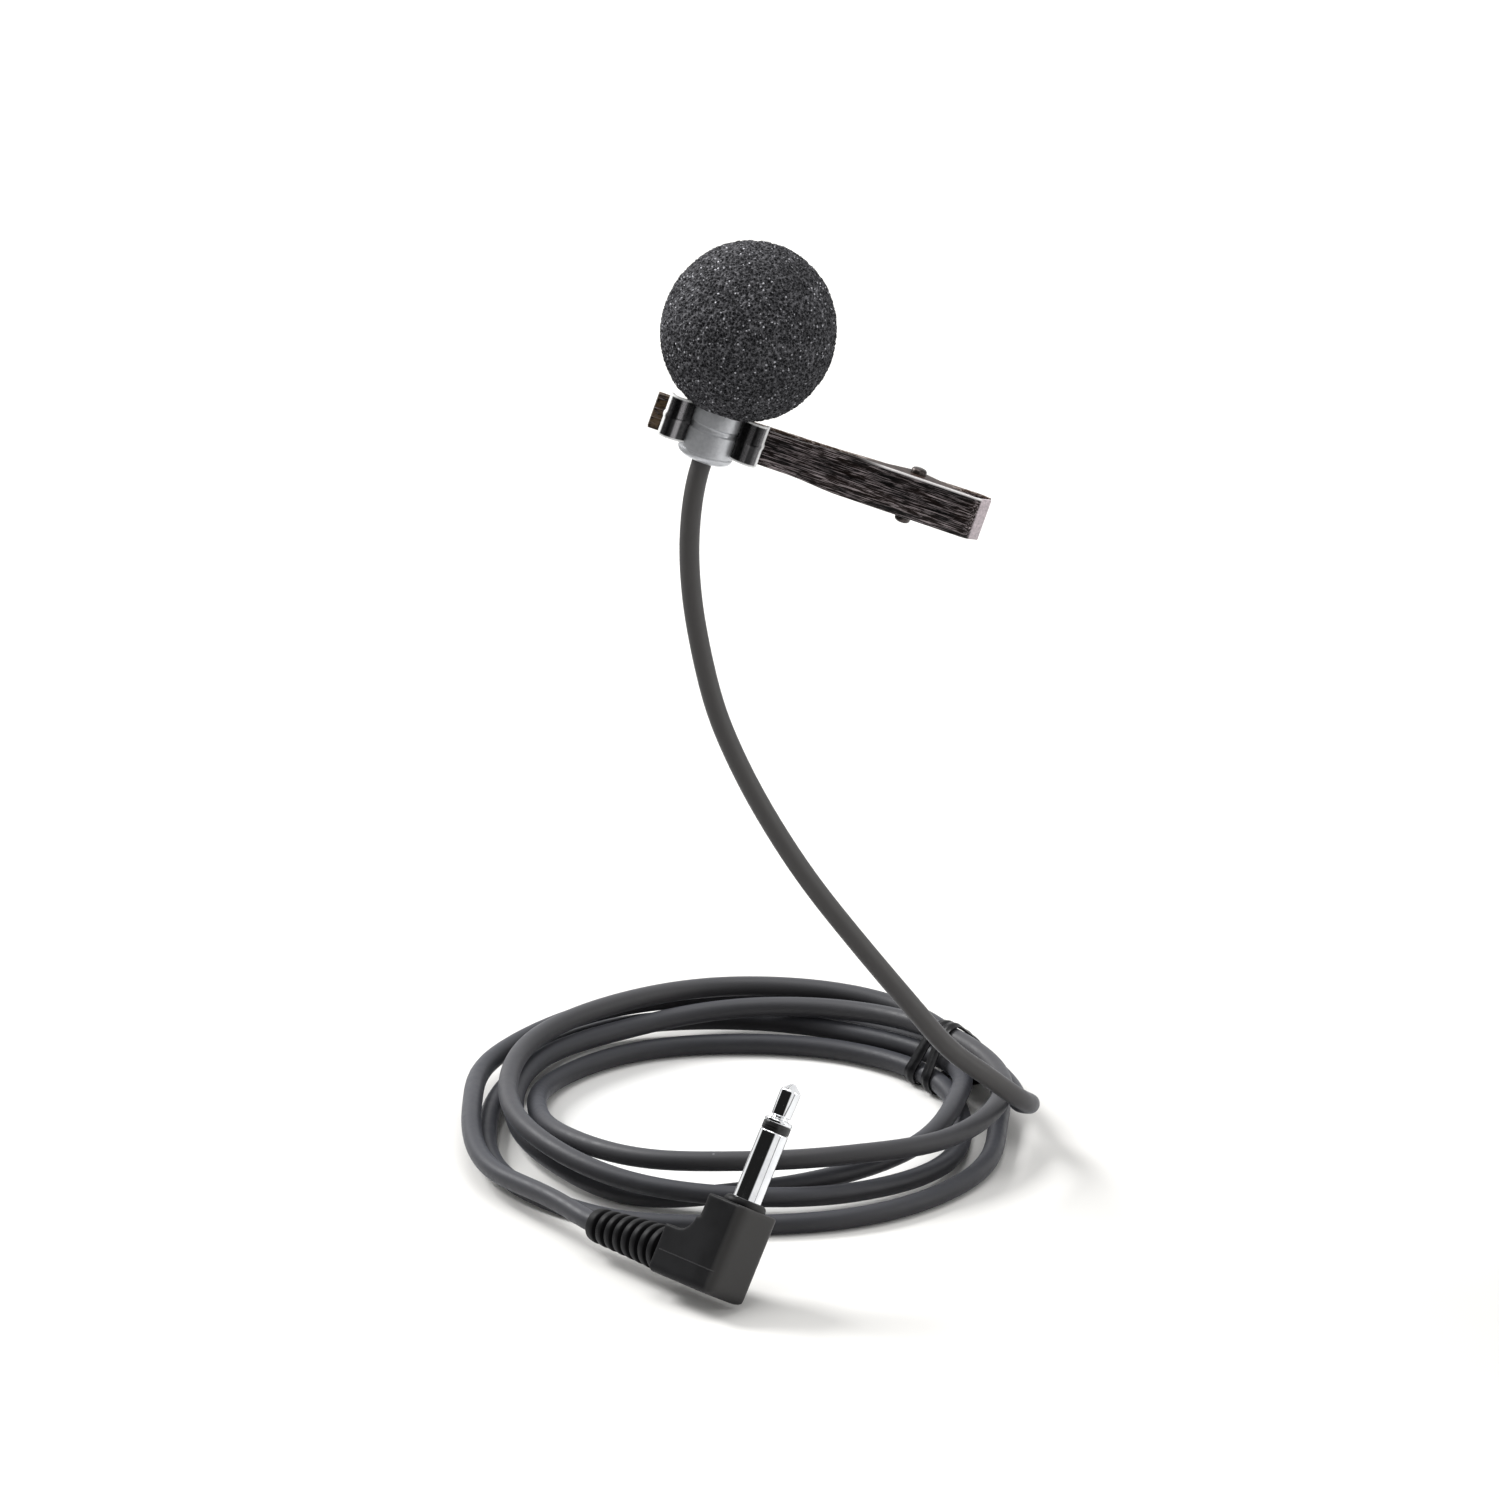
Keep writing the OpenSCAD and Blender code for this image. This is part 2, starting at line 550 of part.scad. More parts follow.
// [radius, distance] outline with a groove before each rib
boot_outline = concat(
    [[0, -0.3], [boot_r(0), -0.3], [boot_r(0), 0.5]],
    [for (k = [0 : boot_ribs - 1]) let (x = 0.7 + k * rib_pitch, root = boot_r(x) - 0.5) each
        [[root, x], [root, x + 0.5],
         [boot_r(x + 0.55), x + 0.6], [boot_r(x + 1.4), x + 1.45]]],
    [[boot_r(boot_len), boot_len - 0.2], [boot_r(boot_len) - 0.2, boot_len], [0, boot_len]]);
module boot() translate([-leg_len, 0, -boot_depth]) rotate([0, -90, 0])
    rotate_extrude() polygon(boot_outline);

// The overmould is one L of even width: side view, plan and end view
module elbow_side() {
    difference() {
        polygon([
            [-leg_len, -elbow_h], [elbow_r, -elbow_h], [elbow_r, 0], [upright_x, 0],
            [upright_x, -3.8], [-4.5, -4.8], [-5.2, -5.15], [-leg_len, -5.2]
        ]);
        translate([elbow_r - toe_r, -elbow_h - 1]) square([3, 1 + toe_r]);
    }
    translate([elbow_r - toe_r, -elbow_h + toe_r]) circle(r = toe_r);
}
module elbow_plan() {
    translate([-leg_len, -elbow_r]) square([leg_len, elbow_w]);
    rounded_square(elbow_w, elbow_w, 1.3);
}
module elbow_end() {
    translate([-elbow_r, -elbow_h + foot_r]) square([elbow_w, elbow_h]);
    translate([-elbow_r + foot_r, -elbow_h]) square([elbow_w - 2 * foot_r, 3]);
    for (side = [-1, 1])
        translate([side * (elbow_r - foot_r), -elbow_h + foot_r]) circle(r = foot_r);
}
module plug_overmould() color([0.09, 0.09, 0.10]) plug_frame() difference() {
    union() {
        intersection() {
            rotate([90, 0, 0]) linear_extrude(height = 10, center = true) elbow_side();
            translate([0, 0, -20]) linear_extrude(height = 30) elbow_plan();
            rotate([90, 0, 90]) linear_extrude(height = 30, center = true) elbow_end();
        }
        boot();
        cylinder(r1 = 2.65, r2 = 2.35, h = collar_h);
    }
    // room for the inner mould, the sleeve's flange and neck, and the cable
    translate([0, 0, -9.2]) linear_extrude(height = 8.2) rounded_square(4.6, 4.6, 0.8);
    translate([0, 0, -1.5]) cylinder(r = 2.12, h = 1.5);
    translate([0, 0, -2]) cylinder(r = 1.57, h = 4);
    translate([-30, 0, -boot_depth]) rotate([0, 90, 0]) cylinder(r = cable_hole_r, h = 29);
}
module plug_inner_mould() color([0.85, 0.85, 0.82]) plug_frame() difference() {
    translate([0, 0, -9.18]) linear_extrude(height = 8.1) rounded_square(4.56, 4.56, 0.8);
    // room for the sleeve, the cable end, and the lugs and joints
    translate([0, 0, -6.6]) cylinder(r = 1.5, h = 8);
    translate([-4, 0, -boot_depth]) rotate([0, 90, 0]) cylinder(r = 1.22, h = 4.6);
    translate([-1.45, -1.5, -8.4]) cube([2.9, 3.0, 1.9]);
}

// ---- plug contacts, in the plug frame ----------------------------------
barrel_r = barrel_d / 2;
barrel_top = collar_h + barrel_len;
tip_shank_r = 0.7;
tip_hole_r = 0.72;
joint_y = 0.7;                  // leads and joints either side of the middle
joint_z = -7.7;
// [radius, z] outline of the tip above the insulating ring
tip_outline = [
    [0, 0], [barrel_r, 0], [barrel_r, 0.45], [0.95, 0.6], [0.95, 0.9],
    [1.12, 1.0], [1.30, 4.1], [0.3, 5.0], [0, 5.05]
];

// Flange, neck, barrel and tail with one bore through them
module plug_sleeve() color(contact_color) plug_frame() difference() {
    union() {
        translate([0, 0, -1.05]) cylinder(r = 2.1, h = 1.04);
        translate([0, 0, -0.5]) cylinder(r = 1.55, h = 1 + collar_h);
        translate([0, 0, collar_h]) cylinder(r = barrel_r, h = barrel_len);
        translate([0, 0, -4.4]) cylinder(r = 1.45, h = 4.4);
    }
    translate([0, 0, -6]) cylinder(r = 1.15, h = 20);
}
module plug_insulator() color([0.05, 0.05, 0.05]) plug_frame() difference() {
    union() {
        translate([0, 0, -4.8]) cylinder(r = 1.13, h = 4.8 + barrel_top + 0.02);
        translate([0, 0, barrel_top + 0.01]) cylinder(r = barrel_r, h = 1.0);
    }
    translate([0, 0, -6]) cylinder(r = tip_hole_r, h = 20);
}
module plug_tip() color(contact_color) plug_frame() {
    translate([0, 0, -5.6]) cylinder(r = tip_shank_r, h = 5.6 + barrel_top + 1.5);
    translate([0, 0, barrel_top + 1.02]) rotate_extrude() polygon(tip_outline);
}
module plug_tip_lug() color(lug_color) plug_frame() difference() {
    translate([-0.9, -0.9, -5.5]) cube([1.8, 1.8, 0.4]);
    translate([0, 0, -8]) cylinder(r = tip_hole_r, h = 6);
}
module plug_sleeve_lug() color(lug_color) plug_frame()
    translate([-1.42, -0.35, -7.2]) cube([0.25, 0.7, 2.8]);
module plug_leads() color(lead_color) plug_frame()
    for (side = [-1, 1]) translate([-2.2, joint_y * side, joint_z])
        rotate([0, 90, 0]) cylinder(r = lead_r, h = 2.2, $fn = small_fn);
module plug_solder() color(solder_color) plug_frame()
    for (side = [-1, 1]) translate([0.45, joint_y * side, joint_z])
        sphere(r = 0.42, $fn = small_fn);

foam_windscreen();
mic_housing();
mic_rear_cap();
mic_grille();
capsule_can();
capsule_felt();
capsule_diaphragm();
capsule_spacer();
capsule_backplate();
capsule_ring();
capsule_transistor();
capsule_board();
capsule_gasket();
capsule_solder();
mic_leads();
cable_ferrule();
mic_holder();
holder_rivet();
clip_front_arm();
clip_pivot_pin();
clip_spring();
clip_rear_arm();
cable_jacket_coil();
cable_core_coil();
cable_tie();
cable_jacket_riser();
cable_core_riser();
cable_jacket_mic();
cable_core_mic();
cable_jacket_plug();
cable_core_plug();
plug_overmould();
plug_inner_mould();
plug_sleeve();
plug_insulator();
plug_tip();
plug_tip_lug();
plug_sleeve_lug();
plug_leads();
plug_solder();
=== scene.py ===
import bpy
import bmesh
import math
import numpy as np
from mathutils import Matrix, Vector, noise


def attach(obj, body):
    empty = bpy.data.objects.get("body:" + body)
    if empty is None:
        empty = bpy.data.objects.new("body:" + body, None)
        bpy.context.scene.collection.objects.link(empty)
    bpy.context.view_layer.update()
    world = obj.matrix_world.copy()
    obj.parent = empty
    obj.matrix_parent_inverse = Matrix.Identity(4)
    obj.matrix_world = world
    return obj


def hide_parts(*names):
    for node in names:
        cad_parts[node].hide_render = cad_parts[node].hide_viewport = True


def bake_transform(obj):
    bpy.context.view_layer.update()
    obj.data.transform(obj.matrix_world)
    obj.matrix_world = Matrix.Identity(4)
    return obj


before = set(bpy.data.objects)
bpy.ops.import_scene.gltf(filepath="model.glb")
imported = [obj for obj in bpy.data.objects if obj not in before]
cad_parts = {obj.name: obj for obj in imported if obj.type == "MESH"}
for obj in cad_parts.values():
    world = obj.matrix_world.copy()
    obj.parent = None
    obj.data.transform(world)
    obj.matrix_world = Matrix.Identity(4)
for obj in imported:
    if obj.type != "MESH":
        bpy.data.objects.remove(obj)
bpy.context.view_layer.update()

MM = 0.001
rad = math.radians


# ---------------------------------------------------------------- frames
def V(*a):
    return np.array(a, float)


def unit(v):
    v = np.asarray(v, float)
    return v / np.linalg.norm(v)


def frame_matrix(org, rx, ry, rz):
    """4x4 of translate(org) rotate([rx, ry, rz]), angles in degrees, mm."""
    m = (Matrix.Rotation(rad(rz), 4, "Z") @ Matrix.Rotation(rad(ry), 4, "Y")
         @ Matrix.Rotation(rad(rx), 4, "X"))
    m.translation = Vector(org)
    return np.array(m, float)


I4 = np.eye(4)
MIC = frame_matrix((-4.5, -4.0, 87.6), -8, 19.5, 0)
mic_dir = MIC[:3, 2]
CLIP = MIC @ np.array(Matrix.Rotation(rad(-2.5), 4, "Z"), float)      # the clip is turned a little about the mic
CABLE_R = 1.2


# ---------------------------------------------------------------- cable line
turn_1 = [[33.0, 4.0], [31.7, 4.2], [33.5, 5.3], [32.2, 6.0], [29.4, 6.5], [28.8, 6.1], [27.7, 5.3], [27.7, 5.1], [28.0, 4.1], [28.5, 3.6], [27.3, 2.2], [27.5, 1.5]]
turn_2 = [[26.3, 1.3], [26.5, 1.7], [26.3, 1.3], [25.7, 1.2], [26.3, 1.2], [26.0, 1.4], [24.2, 3.0], [24.2, 4.7], [24.2, 5.5], [24.3, 6.4], [26.0, 6.5], [29.4, 5.8]]
turn_3 = [[31.2, 6.0], [29.6, 6.2], [29.5, 5.3], [28.1, 4.8], [27.6, 3.8], [28.1, 3.6], [27.0, 2.7], [26.4, 2.3], [26.0, 1.3], [24.6, 2.6], [24.4, 3.5], [24.6, 3.9]]
turn_4 = [[25.6, 4.4], [29.0, 3.1], [28.6, 2.7], [30.5, 2.3], [33.0, 1.8], [30.6, 1.5], [30.1, 1.5], [32.3, 1.2], [33.0, 1.2], [31.5, 1.2], [32.2, 1.2], [31.9, 1.2]]
turn_5 = [[30.6, 1.3], [33.6, 1.8], [32.0, 2.2], [33.8, 3.7], [32.6, 4.6], [33.5, 3.4], [32.0, 3.7], [34.8, 3.2], [39.2, 4.3], [56.6, 4.3]]
riser_pts = [[34.4, -5.8, 6.2], [32.8, -10.4, 8.9], [28.9, -13.2, 13.0], [24.7, -14.6, 16.8], [20.6, -14.9, 21.9], [13.6, -13.6, 30.3], [8.0, -12.0, 37.3], [3.3, -10.5, 44.4], [-0.5, -9.0, 51.4], [-3.3, -7.6, 58.4], [-5.4, -6.2, 68.0], [-6.1, -5.3, 75.6], [-5.8, -4.75, 81.8]]
turns = np.array(turn_1 + turn_2 + turn_3 + turn_4 + turn_5, float)
COIL_END = 56.13


def spline(p, u):
    n = len(p)
    i = min(int(math.floor(u)), n - 2)
    t = u - i
    a = 2 * p[0] - p[1] if i == 0 else p[i - 1]
    d = 2 * p[n - 1] - p[n - 2] if i + 2 > n - 1 else p[i + 2]
    b, c = p[i], p[i + 1]
    return 0.5 * (2 * b + (c - a) * t + (2 * a - 5 * b + 4 * c - d) * t * t + (3 * b - a - 3 * c + d) * t ** 3)


def coil_pt(u):
    q = spline(turns, u)
    return V(q[0] * math.cos(rad(30 * u)), q[0] * math.sin(rad(30 * u)), q[1])


low_hinge = coil_pt(0)
plug_hinge = coil_pt(COIL_END)
mic_hinge = MIC[:3, 3] - 1.6 * mic_dir
plug_q = V(math.cos(rad(-48)), math.sin(rad(-48)), 0)
_pm = frame_matrix((0, 0, 0), -30.4, 0, -48)
plug_p = _pm[:3, 2]
AXIS_H, BOOT_LEN, LEG_LEN = 8.2, 14.0, 7.5
plug_org = plug_hinge + (1.3 + BOOT_LEN + LEG_LEN) * plug_q + AXIS_H * plug_p
PLUG = frame_matrix(plug_org, -30.4, 0, -48)


# ---------------------------------------------------------------- mesh helpers
def new_obj(name, verts, faces, m=I4, local=None, sharp=35.0):
    """Mesh object from points in mm in the frame m. Keeps the local points as attribute loc, for textures."""
    verts = np.asarray(verts, float).reshape(-1, 3)
    world = verts @ m[:3, :3].T + m[:3, 3]
    me = bpy.data.meshes.new(name)
    me.from_pydata((world * MM).tolist(), [], faces)
    me.validate()
    me.update()
    a = me.attributes.new("loc", "FLOAT_VECTOR", "POINT")
    src = verts if local is None else np.asarray(local, float)
    if len(src) == len(me.vertices):
        a.data.foreach_set("vector", src.astype(np.float32).ravel())
    ob = bpy.data.objects.new(name, me)
    bpy.context.scene.collection.objects.link(ob)
    if sharp is None:
        me.shade_smooth()
    else:
        me.shade_smooth()
        me.set_sharp_from_angle(angle=rad(sharp))
    return ob


def join_parts(parts):
    """[(verts, faces)] to one (verts, faces)."""
    vs, fs, b = [], [], 0
    for v, f in parts:
        v = np.asarray(v, float).reshape(-1, 3)
        vs.append(v)
        fs += [[i + b for i in face] for face in f]
        b += len(v)
    return np.vstack(vs), fs


def fillet(pts, r, seg=4, closed=False, keep=()):
    """Rounds the corners of a 2D or 3D line, each over at most r and 0.45 of its edges."""
    pts = [np.asarray(p, float) for p in pts]
    n, out = len(pts), []
    for i, p in enumerate(pts):
        if (not closed and i in (0, n - 1)) or i in keep:
            out.append(p)
            continue
        a, b = pts[(i - 1) % n], pts[(i + 1) % n]
        la, lb = np.linalg.norm(a - p), np.linalg.norm(b - p)
        c = min(r, 0.45 * la, 0.45 * lb)
        s, e = p + (a - p) * c / la, p + (b - p) * c / lb
        for k in range(seg + 1):
            t = k / seg
            out.append((1 - t) ** 2 * s + 2 * t * (1 - t) * p + t * t * e)
    return out


def lathe(profile, n=96, close_ends=True):
    """Revolves [(r, z)] round z. A point with r < 1e-4 becomes a pole."""
    vs, rows = [], []
    for r, z in profile:
        if r < 1e-4:
            rows.append([len(vs)])
            vs.append((0, 0, z))
        else:
            rows.append(list(range(len(vs), len(vs) + n)))
            vs += [(r * math.cos(2 * math.pi * k / n), r * math.sin(2 * math.pi * k / n), z) for k in range(n)]
    fs = []
    for a, b in zip(rows[:-1], rows[1:]):
        for k in range(n):
            k2 = (k + 1) % n
            if len(a) == 1 and len(b) == 1:
                continue
            if len(a) == 1:
                fs.append([a[0], b[k2], b[k]])
            elif len(b) == 1:
                fs.append([a[k], a[k2], b[0]])
            else:
                fs.append([a[k], a[k2], b[k2], b[k]])
    return np.array(vs, float), fs


def frames_along(path, up, closed=False):
    """Side and up vectors at each point, carried along without twist."""
    p = np.asarray(path, float)
    n = len(p)
    t = np.empty_like(p)
    if closed:
        t = np.roll(p, -1, 0) - np.roll(p, 1, 0)
    else:
        t[1:-1] = p[2:] - p[:-2]
        t[0], t[-1] = p[1] - p[0], p[-1] - p[-2]
    t /= np.linalg.norm(t, axis=1)[:, None]
    s = np.cross(t[0], up)
    s = unit(s)
    side = [s]
    for i in range(1, n):
        s = side[-1] - t[i] * (side[-1] @ t[i])
        side.append(unit(s))
    side = np.array(side)
    return t, side, np.cross(side, t)


def sweep(path, section, up=(0, 0, 1), closed=False, caps=True, side=None, scale=None):
    """Sweeps a closed 2D section [(a, b)] along a path. a goes along side, b along the up vector."""
    p = np.asarray(path, float)
    t, s, w = frames_along(p, np.array(up, float), closed)
    if side is not None:
        s = np.asarray(side, float)
        w = np.cross(s, t)
    sec = np.asarray(section, float)
    m = len(sec)
    sc = np.ones(len(p)) if scale is None else np.asarray(scale, float)
    vs = (p[:, None, :] + sc[:, None, None] * (sec[None, :, 0, None] * s[:, None, :] + sec[None, :, 1, None] * w[:, None, :])).reshape(-1, 3)
    fs = []
    rows = len(p)
    for i in range(rows if closed else rows - 1):
        j = (i + 1) % rows
        for k in range(m):
            k2 = (k + 1) % m
            fs.append([i * m + k, j * m + k, j * m + k2, i * m + k2])
    if caps and not closed:
        fs.append(list(range(m)))
        fs.append([(rows - 1) * m + k for k in range(m - 1, -1, -1)])
    return vs, fs


def circle(r, n):
    return [(r * math.cos(2 * math.pi * k / n), r * math.sin(2 * math.pi * k / n)) for k in range(n)]


def prism(poly, z0, z1):
    n = len(poly)
    vs = [(x, y, z0) for x, y in poly] + [(x, y, z1) for x, y in poly]
    fs = [list(range(n - 1, -1, -1)), list(range(n, 2 * n))]
    fs += [[k, (k + 1) % n, n + (k + 1) % n, n + k] for k in range(n)]
    return np.array(vs, float), fs


def bevel(ob, width, seg=2, angle=40):
    m = ob.modifiers.new("bevel", "BEVEL")
    m.width = width * MM
    m.segments = seg
    m.limit_method = "ANGLE"
    m.angle_limit = rad(angle)
    m.harden_normals = False
    return ob


def fix_normals(ob):
    bm = bmesh.new()
    bm.from_mesh(ob.data)
    bmesh.ops.recalc_face_normals(bm, faces=bm.faces)
    bm.to_mesh(ob.data)
    bm.free()
    ob.data.update()


# ---------------------------------------------------------------- material helpers
class Mat:
    def __init__(self, name):
        self.m = bpy.data.materials.new(name)
        self.m.use_nodes = True
        self.t = self.m.node_tree
        self.t.nodes.clear()
        self.out = self.t.nodes.new("ShaderNodeOutputMaterial")
        self.b = self.t.nodes.new("ShaderNodeBsdfPrincipled")
        self.t.links.new(self.b.outputs[0], self.out.inputs[0])
        self.bumps = None

    def put(self, node, key, val):
        s = node.inputs[key]
        if isinstance(val, bpy.types.NodeSocket):
            self.t.links.new(val, s)
        elif isinstance(val, (tuple, list)) and len(val) == 3 and s.type == "RGBA":
            s.default_value = (*val, 1)
        else:
            s.default_value = val

    def n(self, kind, props=None, **ins):
        node = self.t.nodes.new("ShaderNode" + kind)
        for k, v in (props or {}).items():
            setattr(node, k, v)
        for k, v in ins.items():
            self.put(node, k.replace("_", " "), v)
        return node

    def set(self, **ins):
        for k, v in ins.items():
            self.put(self.b, k.replace("_", " "), v)
        return self

    def obj(self):
        return self.n("TexCoord").outputs["Object"]

    def loc(self):
        return self.n("Attribute", {"attribute_name": "loc"}).outputs["Vector"]

    def stretch(self, vec, sx, sy, sz):
        m = self.n("Mapping", Vector=vec)
        m.inputs["Scale"].default_value = (sx, sy, sz)
        return m.outputs[0]

    def noise(self, vec, scale, detail=3.0, rough=0.55):
        return self.n("TexNoise", Vector=vec, Scale=scale, Detail=detail, Roughness=rough).outputs[0]

    def voro(self, vec, scale, feature="F1", rnd=1.0):
        return self.n("TexVoronoi", {"feature": feature}, Vector=vec, Scale=scale, Randomness=rnd)

    def ramp(self, fac, *stops):
        r = self.n("ValToRGB", Fac=fac)
        e = r.color_ramp.elements
        while len(e) < len(stops):
            e.new(0.5)
        for el, (p, c) in zip(e, stops):
            el.position = p
            el.color = (*(c if isinstance(c, (tuple, list)) else (c, c, c)), 1)
        return r.outputs[0]

    def map(self, v, a, b, c, d):
        n = self.n("MapRange", Value=v)
        for i, x in enumerate((a, b, c, d)):
            n.inputs[i + 1].default_value = x
        return n.outputs[0]

    def math(self, op, a, b=0.0, c=None):
        n = self.t.nodes.new("ShaderNodeMath")
        n.operation = op
        self.put_i(n, 0, a)
        self.put_i(n, 1, b)
        if c is not None:
            self.put_i(n, 2, c)
        return n.outputs[0]

    def put_i(self, n, i, v):
        if isinstance(v, bpy.types.NodeSocket):
            self.t.links.new(v, n.inputs[i])
        else:
            n.inputs[i].default_value = v

    def mix(self, fac, a, b, blend="MIX"):
        n = self.t.nodes.new("ShaderNodeMix")
        n.data_type = "RGBA"
        n.blend_type = blend
        self.put_i(n, 0, fac)
        for i, v in ((6, a), (7, b)):
            if isinstance(v, bpy.types.NodeSocket):
                self.t.links.new(v, n.inputs[i])
            else:
                n.inputs[i].default_value = (*v, 1)
        return n.outputs[2]

    def bump(self, height, strength, dist_mm):
        n = self.n("Bump", Height=height, Strength=strength, Distance=dist_mm * MM)
        if self.bumps is not None:
            self.t.links.new(self.bumps, n.inputs["Normal"])
        self.bumps = n.outputs[0]
        self.t.links.new(self.bumps, self.b.inputs["Normal"])
        return self

    def facing(self, blend=0.3):
        return self.n("LayerWeight", Blend=blend).outputs["Facing"]

    def normal_up(self):
        g = self.n("NewGeometry").outputs["Normal"]
        return self.n("SeparateXYZ", Vector=g).outputs["Z"]

    def axis(self, vec, a):
        return self.n("SeparateXYZ", Vector=vec).outputs[a]


def give(ob, mat):
    me = ob.data
    me.materials.clear()
    me.materials.append(mat.m)
    return ob


# foam: open cells, with painted shade in the pores and painted light on the cell walls
foam = Mat("foam_open_cell")
c = foam.obj()
cells = foam.voro(c, 2700, "F1")
cells2 = foam.voro(c, 4300, "F1")
grain = foam.noise(c, 3400, 3, 0.7)
blot = foam.noise(c, 420, 3)
spark = foam.voro(c, 3000, "F1")
# painted shade at the pore centres, painted light on the cell walls
lum = foam.ramp(cells.outputs["Distance"], (0.0, (0.003, 0.003, 0.004)), (0.36, (0.012, 0.012, 0.014)), (0.60, (0.044, 0.044, 0.049)), (0.88, (0.19, 0.188, 0.20)))
wall = foam.map(cells2.outputs["Distance"], 0.40, 0.70, 0.0, 1.0)
lum = foam.mix(foam.math("MULTIPLY", wall, foam.map(grain, 0.42, 0.62, 0.0, 0.9)), lum, (0.22, 0.218, 0.23))
lum = foam.mix(foam.map(blot, 0.35, 0.65, 0.35, 0.0), lum, (0.005, 0.005, 0.006))
# painted glints: sparse bright specks scattered over the foam
rnd = foam.axis(spark.outputs["Color"], 0)
painted_glints = foam.math("MULTIPLY", foam.map(rnd, 0.86, 0.95, 0, 1), foam.map(spark.outputs["Distance"], 0.46, 0.20, 0, 1))
lum = foam.mix(painted_glints, lum, (0.72, 0.72, 0.76))
foam.set(Base_Color=lum, Roughness=0.85, Sheen_Weight=0.0, Specular_IOR_Level=0.15)
foam.bump(cells.outputs["Distance"], 1.0, 0.22)
foam.bump(cells2.outputs["Distance"], 0.8, 0.12)

# soft cable jacket: satin dark grey, faint drag marks along it, with a painted highlight where it faces up and painted
# shade on the strands nearest the floor
rubber = Mat("cable_jacket")
c = rubber.obj()
n1 = rubber.noise(c, 900, 4)
n2 = rubber.noise(c, 90, 2)
base = rubber.mix(rubber.map(n2, 0.35, 0.65, 0, 1), (0.030, 0.030, 0.033), (0.041, 0.040, 0.043))
# painted highlight: paler and bluer where the jacket faces up
base = rubber.mix(rubber.math("MULTIPLY", rubber.map(rubber.normal_up(), 0.1, 1.0, 0, 0.6), rubber.map(n1, 0.3, 0.7, 0.7, 1)), base, (0.064, 0.067, 0.080))
speck = rubber.voro(c, 330, "F1")
sp = rubber.math("MULTIPLY", rubber.map(rubber.axis(speck.outputs["Color"], 1), 0.955, 0.965, 0, 1), rubber.map(speck.outputs["Distance"], 0.07, 0.03, 0, 0.5))
# painted light and shade: the jacket is darker near the floor and paler higher up, on the upper strands and the riser
height_light = rubber.map(rubber.axis(c, 2), 0.0045, 0.0120, 0.0, 1.0)
base = rubber.mix(rubber.math("MULTIPLY", height_light, 0.85), base, (0.088, 0.084, 0.081))
base = rubber.mix(sp, base, (0.3, 0.3, 0.32))
rubber.set(Base_Color=base, Roughness=rubber.map(n1, 0.3, 0.7, 0.42, 0.54), Sheen_Weight=0.08, Sheen_Roughness=0.4, Sheen_Tint=(0.75, 0.82, 1.0), Specular_IOR_Level=0.28)
rubber.bump(n1, 0.10, 0.05)

# plug moulding: darker, smoother, spark-eroded grain, with the mould's parting line and a painted lighter +x side
pl = Mat("plug_moulding")
c = pl.obj()
lc = pl.loc()
n1 = pl.noise(c, 3800, 2)
n2 = pl.noise(c, 160, 3)
base = pl.mix(pl.map(n2, 0.35, 0.65, 0, 1), (0.006, 0.006, 0.0065), (0.011, 0.011, 0.012))
lx, ly, lz = pl.axis(lc, 0), pl.axis(lc, 1), pl.axis(lc, 2)
d = pl.math("ABSOLUTE", pl.math("ADD", lz, 8.35))
line = pl.math("MULTIPLY", pl.map(d, 0.09, 0.02, 0, 1), pl.map(lx, 2.6, 2.3, 0, 1))
line = pl.math("MULTIPLY", line, pl.map(ly, -2.0, -2.4, 0, 1))
line = pl.math("MULTIPLY", line, pl.map(lx, -7.2, -7.0, 0, 1))
base = pl.mix(pl.math("MULTIPLY", line, 0.25), base, (0.09, 0.09, 0.095))
# painted light: the moulding is lighter towards the upright's +x side
front = pl.map(lx, 1.7, 3.3, 0, 1)
base = pl.mix(pl.math("MULTIPLY", front, 0.9), base, (0.078, 0.076, 0.074))
pl.set(Base_Color=base, Roughness=pl.map(n2, 0.3, 0.7, 0.42, 0.54), Specular_IOR_Level=0.11, Coat_Weight=0.0)
pl.bump(n1, 0.12, 0.04)
pl.bump(line, 0.8, 0.09)

# bright plating, turned: very fine rings round the pin
chrome = Mat("plug_plating")
lc = chrome.loc()
ringn = chrome.noise(chrome.stretch(lc, 0.15, 0.15, 14.0), 1.0, 3)
smudge = chrome.noise(lc, 0.55, 3)
chrome.set(Base_Color=chrome.mix(chrome.map(smudge, 0.4, 0.7, 0, 1), (0.86, 0.87, 0.88), (0.76, 0.77, 0.79)), Metallic=1.0, Roughness=chrome.map(smudge, 0.35, 0.7, 0.045, 0.11))
chrome.bump(ringn, 0.05, 0.02)

ring_black = Mat("plug_ring")
lc = ring_black.loc()
k = ring_black.noise(ring_black.stretch(lc, 0.4, 0.4, 9), 1.0, 2)
ring_black.set(Base_Color=ring_black.ramp(k, (0.3, 0.006), (0.7, 0.014)), Roughness=ring_black.map(k, 0.3, 0.7, 0.22, 0.34))
ring_black.bump(k, 0.06, 0.02)

# mic body: satin light grey lacquer over metal
grey = Mat("mic_grey")
lc = grey.loc()
k = grey.noise(lc, 2.2, 3)
fine = grey.noise(lc, 38, 2)
grey.set(Base_Color=grey.mix(grey.map(k, 0.35, 0.65, 0, 1), (0.60, 0.61, 0.63), (0.68, 0.69, 0.71)), Metallic=0.45, Roughness=grey.map(k, 0.3, 0.7, 0.30, 0.38), Coat_Weight=0.25, Coat_Roughness=0.12)
grey.bump(fine, 0.05, 0.02)
